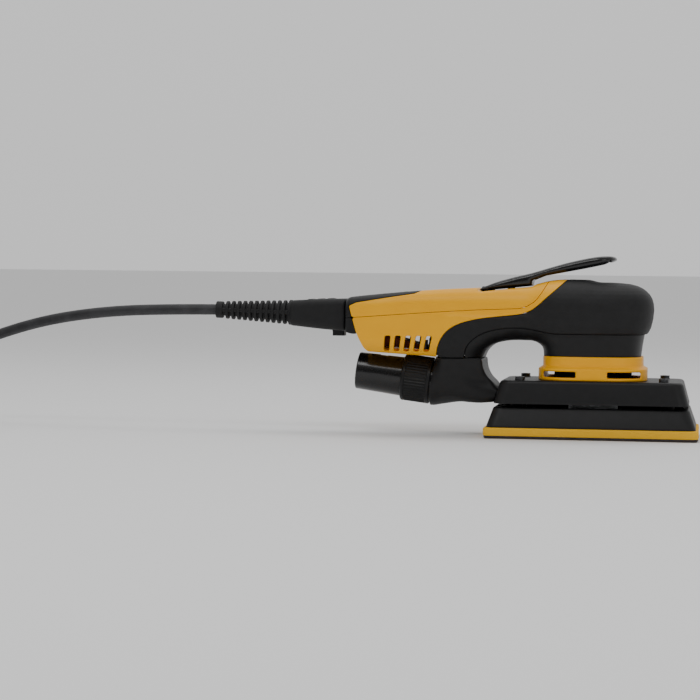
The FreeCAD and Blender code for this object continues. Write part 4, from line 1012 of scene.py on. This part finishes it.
def vent_slots(p):
    """Leaning slots low on the sides of the lower housing."""
    found = np.full(len(p), 50.0)
    for index in range(SLOTS):
        lean = (1.0 + 0.25 * index) * (p[:, 2] - 52.6) / 9.8
        centre = -129.0 + SLOT_PITCH * index + lean
        found = np.minimum(found, rounded_rect(p[:, 0] - centre, p[:, 2] - 57.6, SLOT_HALF, 4.8,
                                               0.7))
    return np.maximum(found, 15.0 - np.abs(p[:, 1]))


BUTTONS = {"power": (-146.0, 0.0), "minus": (-132.0, -8.5), "plus": (-132.0, 8.5)}
BUTTON_RADIUS, BUTTON_GAP, BUTTON_PROUD, LIGHT_X = 4.2, 0.25, 0.25, -120.0
PANEL_TILT = math.radians(5.7)


def panel_holes(p):
    found = np.hypot(p[:, 0] - LIGHT_X, p[:, 1]) - 1.3
    for x, y in BUTTONS.values():
        found = np.minimum(found, np.hypot(p[:, 0] - x, p[:, 1] - y) - BUTTON_RADIUS - BUTTON_GAP)
    return np.maximum(found, 80.0 - p[:, 2])


def cover_form(p):
    return meeting(form(p), -LEVER_SEAT(p[:, 0], p[:, 2]), 1.2)


def step_form(p):
    """The hard housing lies back from the rubber over the neck, less so round the opening."""
    back = np.clip((p[:, 0] + 42.0) / 14.0, 0, 1)
    return form(p) + 0.35 + 0.65 * back


def make_shells():
    fine = finer(0.9)
    shell("yellow_lower", "yellow_plastic", form,
          common(outside(PARTING), outside(RIGHT), outside(REAR), outside(vent_slots),
                 above(YELLOW_FLOOR)),
          (-159, -30, 45), (-20, 30, 100.5), fine, 2.4, 0.35, "lower_housing")
    shell("yellow_cover", "yellow_plastic", cover_form,
          common(PARTING, outside(RIGHT), outside(REAR), outside(lever_well)),
          (-159, -30, 65), (-5, 30, 100.5), fine, 2.4, 0.35, "top_cover")
    shell("panel", "black_plastic", form,
          common(REAR, PARTING, outside(panel_holes), outside(inlet_hole)),
          (-159, -30, 65), (-95, 30, 100.5), fine, 2.2, 0.35, "control_panel")
    shell("inlet_surround", "black_plastic", form,
          common(REAR, outside(PARTING), outside(FRAME_UNDER), outside(inlet_hole)),
          (-159, -30, 55), (-130, 30, 85), fine, 2.2, 0.35, "inlet_frame")
    shell("grip_skin", "black_rubber", form, common(RIGHT, SEAM, floor_region),
          (-100, -40, 45), (41, 40, 100.5), fine * 1.2, 1.9, 0.55, "soft_grip")
    shell("hard_housing", "black_plastic", step_form,
          common(RIGHT, outside(SEAM), floor_region),
          (-100, -40, 45), (41, 40, 72), fine, 2.6, 0.4, "motor_housing", 0.0)


# ---------------------------------------------------------------- lever and buttons

LEVER_TOP = [(-72.3, 92.5), (-61.2, 96.8), (-49.9, 100.1), (-38.6, 102.9), (-27.4, 106.3),
             (-16.2, 109.5), (-5, 112.1), (3.4, 113.5), (9.6, 113.8), (13.2, 113.3),
             (14.7, 112.2)]
LEVER_UNDER = [(14, 110.8), (6.3, 108.6), (-4.9, 106.2), (-16.1, 104), (-24.5, 102.3),
               (-31.3, 100.8), (-38.6, 97.6), (-39.1, 94.7), (-71.6, 91.1)]
LEVER_PLAN = [(-72.6, 13.2), (-40, 14.5), (-22, 15.8), (-10, 16.5), (0, 16.3), (6, 15.4),
              (10.5, 12.8), (13.2, 9), (14.6, 4.5), (15, 0)]
PIN_X, PIN_Z = -67.0, 88.6


def make_lever():
    side = Outline(list(curve_through(LEVER_TOP, steps=5)) + LEVER_UNDER, (-80, 80), (22, 120))
    right = curve_through(LEVER_PLAN, steps=6)
    left = [(x, -y) for x, y in right[::-1]]
    plan = Outline(list(right) + left, (-80, -24), (22, 24))
    hollow = Outline([(x, z - 2.3) for x, z in LEVER_TOP[3:-2]] + [(9, 104), (8, 98), (-36, 92)],
                     (-80, 80), (22, 120))

    def lever(p):
        x, y, z = p[:, 0], p[:, 1], p[:, 2]
        whole = meeting(side(x, z), plan(x, y), 3.2)
        room = np.maximum(hollow(x, z), np.abs(y) - 12.4)
        whole = meeting(whole, -room, 1.2)
        eye = np.hypot(x - PIN_X, z - PIN_Z) - 3.2
        stem = rounded_rect(x - PIN_X, z - 91.5, 3.2, 2.6, 0.6)
        lug = np.maximum(np.minimum(eye, stem), np.abs(np.abs(y) - 9.6) - 1.8)
        whole = np.minimum(whole, lug)
        return np.maximum(whole, 1.6 - np.hypot(x - PIN_X, z - PIN_Z))

    solid("paddle_lever", "gloss_black", lever, (-74, -18, 84), (16.5, 18, 115),
          finer(0.6), "lever_arm", "lever")


def make_buttons():
    """Dished round keys, marked with a raised ring, bar or cross."""
    across = np.array(Vector((math.cos(PANEL_TILT), 0, math.sin(PANEL_TILT))))
    upward = np.array(Vector((-math.sin(PANEL_TILT), 0, math.cos(PANEL_TILT))))
    for label, (x, y) in BUTTONS.items():
        panel_top = 86.1 + (x + 156.3) * 3.9 / 36.3
        crown = np.array((x, y, panel_top + BUTTON_PROUD))

        def key(p, crown=crown, label=label):
            local = p - crown
            u, v, w = local @ across, local[:, 1], local @ upward
            disc = meeting(np.hypot(u, v) - BUTTON_RADIUS, np.abs(w + 3.0) - 3.0, 0.7)
            dish = np.sqrt(u ** 2 + v ** 2 + (w - 16.0) ** 2) - 16.35
            disc = meeting(disc, -dish, 0.5)
            mark = rounded_rect(v, u, 1.8, 0.32, 0.3)
            if label == "plus":
                mark = np.minimum(mark, rounded_rect(u, v, 1.8, 0.32, 0.3))
            if label == "power":
                mark = np.abs(np.hypot(u, v) - 1.7) - 0.28
            return np.minimum(disc, np.maximum(np.abs(w + 0.35) - 0.3, mark))

        solid(f"{label}_cap", "black_rubber", key, crown - (5.2, 5.2, 7.2),
              crown + (5.2, 5.2, 1.6), finer(0.28), f"{label}_key", f"{label}_button")


# ---------------------------------------------------------------- duct and hose outlet

OUTLET = np.array((-101.7, 0.0, 33.3))
OUTLET_TILT = math.radians(7.2)
OUTLET_AXIS = np.array((-math.cos(OUTLET_TILT), 0.0, math.sin(OUTLET_TILT)))
DUCT = Stations([(-112.0, 15.4, 18.6, 50.4, 15.3), (-101.7, 15.4, 17.9, 48.7, 15.3),
                 (-95.0, 16.2, 19.0, 47.0, 13.6), (-84.0, 18.5, 20.9, 42.0, 9.0),
                 (-77.0, 19.1, 20.7, 37.2, 7.2), (-70.0, 19.5, 20.6, 33.5, 5.5),
                 (-62.0, 19.8, 21.4, 31.6, 4.4), (-54.0, 20.0, 22.6, 30.5, 3.5)])
FOOT = Stations([(26.0, -77.0, 17.0, 14.0), (34.0, -75.5, 21.0, 17.5), (42.0, -76.5, 21.0, 20.7),
                 (49.1, -77.0, 20.5, 22.5), (56.0, -77.0, 20.5, 24.0)])
SKIRT_LOW, SKIRT_TOP = 21.6, 36.0


def duct_tube(p, inset):
    x = p[:, 0]
    low, top = DUCT(x, 1) + inset, DUCT(x, 2) - inset
    return rounded_rect(p[:, 1], p[:, 2] - (low + top) / 2, DUCT(x, 0) - inset, (top - low) / 2,
                        DUCT(x, 3) - 0.5 * inset)


def duct(p):
    x, y, z = p[:, 0], p[:, 1], p[:, 2]
    foot = rounded_rect(x - FOOT(z, 0), y, FOOT(z, 1), FOOT(z, 2), 9.0)
    foot = np.maximum(foot, np.maximum(28.0 - z, z - STRUT_FOOT))
    whole = joined(duct_tube(p, 0.0), foot, 7.0)
    along = (p - OUTLET) @ OUTLET_AXIS
    whole = meeting(whole, along, 1.0)
    whole = meeting(whole, z - STRUT_FOOT, 0.5)
    whole = meeting(whole, -OPENING(x, z), 3.0)
    bore = np.sqrt(np.maximum(((p - OUTLET) ** 2).sum(1) - along ** 2, 0)) - 12.7
    mouth = np.maximum(bore, -along - 9.0)
    room = np.maximum(duct_tube(p, 2.6), along + 8.0)
    whole = np.maximum(whole, -np.minimum(mouth, room))
    wall = (SKIRT_LOW - 1 - z) * 0.35 - x - 60.7 + (z - SKIRT_LOW) * 0.71
    return np.maximum(whole, -np.maximum(wall * 0.94, -x - 66))


def make_duct():
    solid("dust_duct", "black_plastic", duct, (-106, -26, 16), (-50, 26, 52),
          finer(0.75), "housing", "exhaust_duct")


COLLAR_RIBS = 48
PIPE_ROWS = [(-7.0, 10.0), (-7.0, 12.2), (-6.7, 12.5), (19.6, 12.5), (30.6, 12.2), (31.0, 12.15),
             (31.3, 12.15), (35.0, 12.1), (35.3, 12.1), (36.0, 12.1), (36.3, 12.1), (48.0, 11.8),
             (48.7, 11.6), (49.0, 11.0), (49.0, 10.3), (48.7, 10.0)]


def make_swivel():
    """The hose pipe and its finely ribbed collar, turning on the duct."""
    start = Vector(OUTLET)

    def scored(distance, radius, turn):
        high = math.sin(turn) > math.cos(math.radians(42))
        if high and (30.9 < distance < 31.4 or 34.9 < distance < 35.4):
            return radius - 0.25
        return radius

    turned_solid("hose_pipe", "gloss_black", start, OUTLET_AXIS, PIPE_ROWS, "hose_swivel",
                 "swivel_pipe", scored, 128, True)
    margin, low, top, radius = 2.4, 1.0, 19.6, 14.9
    rows = [(low, 12.55), (low, radius - 0.4), (low + 0.4, radius),
            (low + margin - 0.3, radius), (low + margin, radius - 0.3)]
    ribbed = low + margin + 0.3, top - margin - 0.3
    rows += [(ribbed[0], radius - 0.31), (ribbed[1], radius - 0.31)]
    rows += [(top - margin, radius - 0.3), (top - margin + 0.3, radius), (top - 1.2, radius),
             (top - 0.6, radius - 0.25), (top - 0.15, radius - 0.8), (top, radius - 1.4),
             (top, 12.55)]

    def ribs(distance, reach, turn):
        if ribbed[0] - 0.01 <= distance <= ribbed[1] + 0.01:
            wave = abs(math.cos(COLLAR_RIBS / 2 * turn)) ** 3
            return reach - 0.35 + 0.62 * wave
        return reach

    turned_solid("ribbed_collar", "black_plastic", start, OUTLET_AXIS, rows, "hose_swivel",
                 "swivel_collar", ribs, COLLAR_RIBS * 10, True)


# ---------------------------------------------------------------- skirt, ring and pad

def make_skirt():
    """The fixed skirt: a wide flat hood with a round edge, open below."""
    rows = [(0.0, SKIRT_LOW), (0.9, SKIRT_LOW + 2.5), (4.6, SKIRT_TOP - 1.0),
            (6.4, SKIRT_TOP), (14.0, SKIRT_TOP), (24.0, SKIRT_TOP)]
    outer = [plan_ring(60.3 - inset * 0.8, 37.0 - inset * 0.62, 7.0, z, (0, 0))
             for inset, z in rounded_rows(rows, 1.6, 5)]
    hole = [plan_ring(11.5, 11.5, 11.5, z, (0, 0)) for z in (SKIRT_TOP, SKIRT_TOP - 2.5)]
    inner = [plan_ring(60.3 - 0.8 * inset - 2.5, 37.0 - 0.62 * inset - 2.5, 5.0, z, (0, 0))
             for inset, z in reversed([(0.0, SKIRT_LOW), (0.9, SKIRT_LOW + 2.5),
                                       (4.6, SKIRT_TOP - 3.5), (6.4, SKIRT_TOP - 2.5),
                                       (14.0, SKIRT_TOP - 2.5)])]
    points, faces = bands(outer + hole + inner, True)
    sharpened(piece("skirt_hood", points, faces, "black_plastic", "housing", "skirt"))


RING_X, RING_Y, RING_CORNER, RING_WALL = 31.2, 28.7, 20.0, 2.2
WINDOW_NEAR, WINDOW_FAR, WINDOW_LOW, WINDOW_HIGH = 9.7, 30.0, 38.0, 41.8


def ring_form(p):
    """A flat-sided ring on a wider foot, with a row of narrow windows in each side."""
    x, y, z = p[:, 0], p[:, 1], p[:, 2]
    wide = 2.6 * np.clip((45.0 - z) / 1.6, 0, 1)
    sides = rounded_rect(x, y, RING_X + wide, RING_Y + wide, RING_CORNER)
    ends = np.maximum(SKIRT_TOP - z, z - RING_TOP)
    whole = meeting(sides, ends, 0.8)
    bore = rounded_rect(x, y, RING_X - RING_WALL, RING_Y - RING_WALL, RING_CORNER - RING_WALL)
    whole = meeting(whole, -bore, 0.8)
    for side in (-1, 1):
        centre = side * (WINDOW_NEAR + WINDOW_FAR) / 2
        window = rounded_rect(x - centre, z - (WINDOW_LOW + WINDOW_HIGH) / 2,
                              (WINDOW_FAR - WINDOW_NEAR) / 2, (WINDOW_HIGH - WINDOW_LOW) / 2, 0.8)
        whole = meeting(whole, -window, 0.7)
    return whole


def make_ring():
    solid("vent_band", "yellow_plastic", ring_form, (-35.5, -33, 35), (35.5, 33, 52.5),
          finer(0.5), "housing", "vent_ring")


PAD_CENTRE = (0.0, 1.5)


def make_pad():
    rows = [(3.0, 0.0, 0.0), (0.5, 0.0, 0.0), (0.15, 0.0, 0.5), (0.0, 0.1, 0.5), (0.0, 0.5, 0.0),
            (0.3, 0.7, 0.0), (3.0, 0.7, 0.0)]
    rings = [plan_ring(65.7 - inset, 39.8 - inset, 3.0, z, PAD_CENTRE, teeth, 170)
             for inset, z, teeth in rows]
    points, faces = bands(rings, False)
    sharpened(piece("net_sheet", points, faces, "abrasive", "pad", "abrasive_net"))
    plan_solid("hook_sheet", "hook_fabric", 66.2, 40.2, 4.0,
               [(0.6, 0.72), (0.05, 0.8), (0.05, 1.5), (0.6, 1.58)], "pad", "hook_layer", 0.2,
               PAD_CENTRE)
    foam = plan_solid("foam_slab", "pad_foam", 66.5, 40.5, 4.0,
                      [(0.9, 1.62), (0.25, 1.7), (0.0, 2.6), (0.0, 5.7), (0.3, 6.5), (0.9, 6.68)],
                      "pad", "pad_foam", 0.6, PAD_CENTRE)
    outer = [plan_ring(64.8 - inset, 39.5 - inset, 6.0, z, PAD_CENTRE)
             for inset, z in rounded_rows([(1.0, 6.7), (0.0, 6.7), (0.3, 8.0), (4.0, 18.6),
                                           (4.65, 19.2), (7.5, 19.2)], 0.5)]
    inner = [plan_ring(64.8 - inset, 39.5 - inset, 5.0, z, PAD_CENTRE)
             for inset, z in ((8.0, 19.0), (7.6, 11.6), (8.4, 11.0))]
    points, faces = bands(outer + inner, False)
    sharpened(piece("backing_plate", points, faces, "black_plastic", "pad", "pad_plate"))


# ---------------------------------------------------------------- plug in the inlet

PLUG = Stations([(-200.0, 8.8, 68.0, 83.3, 5.0), (-193.5, 9.6, 67.6, 83.6, 5.0),
                 (-181.0, 12.0, 66.4, 84.3, 4.8), (-169.2, 14.2, 65.4, 84.8, 4.5),
                 (-157.2, 15.0, 64.8, 85.2, 4.0), (-150.0, 15.3, 64.6, 85.4, 4.0)])
PLUG_REAR, PLUG_FRONT, SPIGOT_FRONT = -193.5, -157.2, -144.2


def plug_form(p):
    x, y, z = p[:, 0], p[:, 1], p[:, 2]
    low, top = PLUG(x, 1), PLUG(x, 2)
    grip = rounded_rect(y, z - (low + top) / 2, PLUG(x, 0), (top - low) / 2, PLUG(x, 3))
    grip = meeting(grip, np.maximum(PLUG_REAR - x, x - PLUG_FRONT), 1.4)
    for place, height in ((-168.0, 83.0), (-174.3, 82.7), (-180.6, 82.3)):
        ridge = np.hypot(x - place, z - height) - 2.2
        grip = joined(grip, np.maximum(ridge, np.abs(y) - 8.0), 1.2)
    spigot = rounded_rect(y, z - INLET_Z, 9.0, 6.0, 1.5)
    spigot = np.maximum(spigot, np.abs(x - (PLUG_FRONT + SPIGOT_FRONT) / 2) - 7.5)
    whole = np.minimum(grip, np.maximum(spigot, x - SPIGOT_FRONT))
    latch = np.maximum(rounded_rect(x + 162.6, y, 4.1, 5.3, 1.2), z - 68.0)
    whole = meeting(whole, -latch, 0.6)
    for place in (-5.5, 0.0, 5.5):
        socket = np.maximum(np.hypot(y - place, z - INLET_Z) - 2.0, -160.0 - x)
        whole = np.maximum(whole, -socket)
    return whole


def make_plug():
    solid("inlet_plug", "black_rubber", plug_form, (-195, -17, 63), (-143, 17, 87.5),
          finer(0.6), "lead", "plug_body")


# ---------------------------------------------------------------- making it all

def paint_frame():
    """Each CAD node that still shows takes the finish of its record slot."""
    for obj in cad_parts.values():
        paint = obj.data.materials[0].name.split(".")[0]
        obj.data.materials[0] = MATERIALS[paint]


make_camera()
MATERIALS = make_materials()
plug_pieces = make_mains_plug()
make_cord([make_strain_relief(), "mains_plug_pins"] + make_cord_tie() + plug_pieces)
make_stage()
paint_frame()
make_shells()
make_lever()
make_buttons()
make_duct()
make_swivel()
make_skirt()
make_ring()
make_pad()
make_plug()
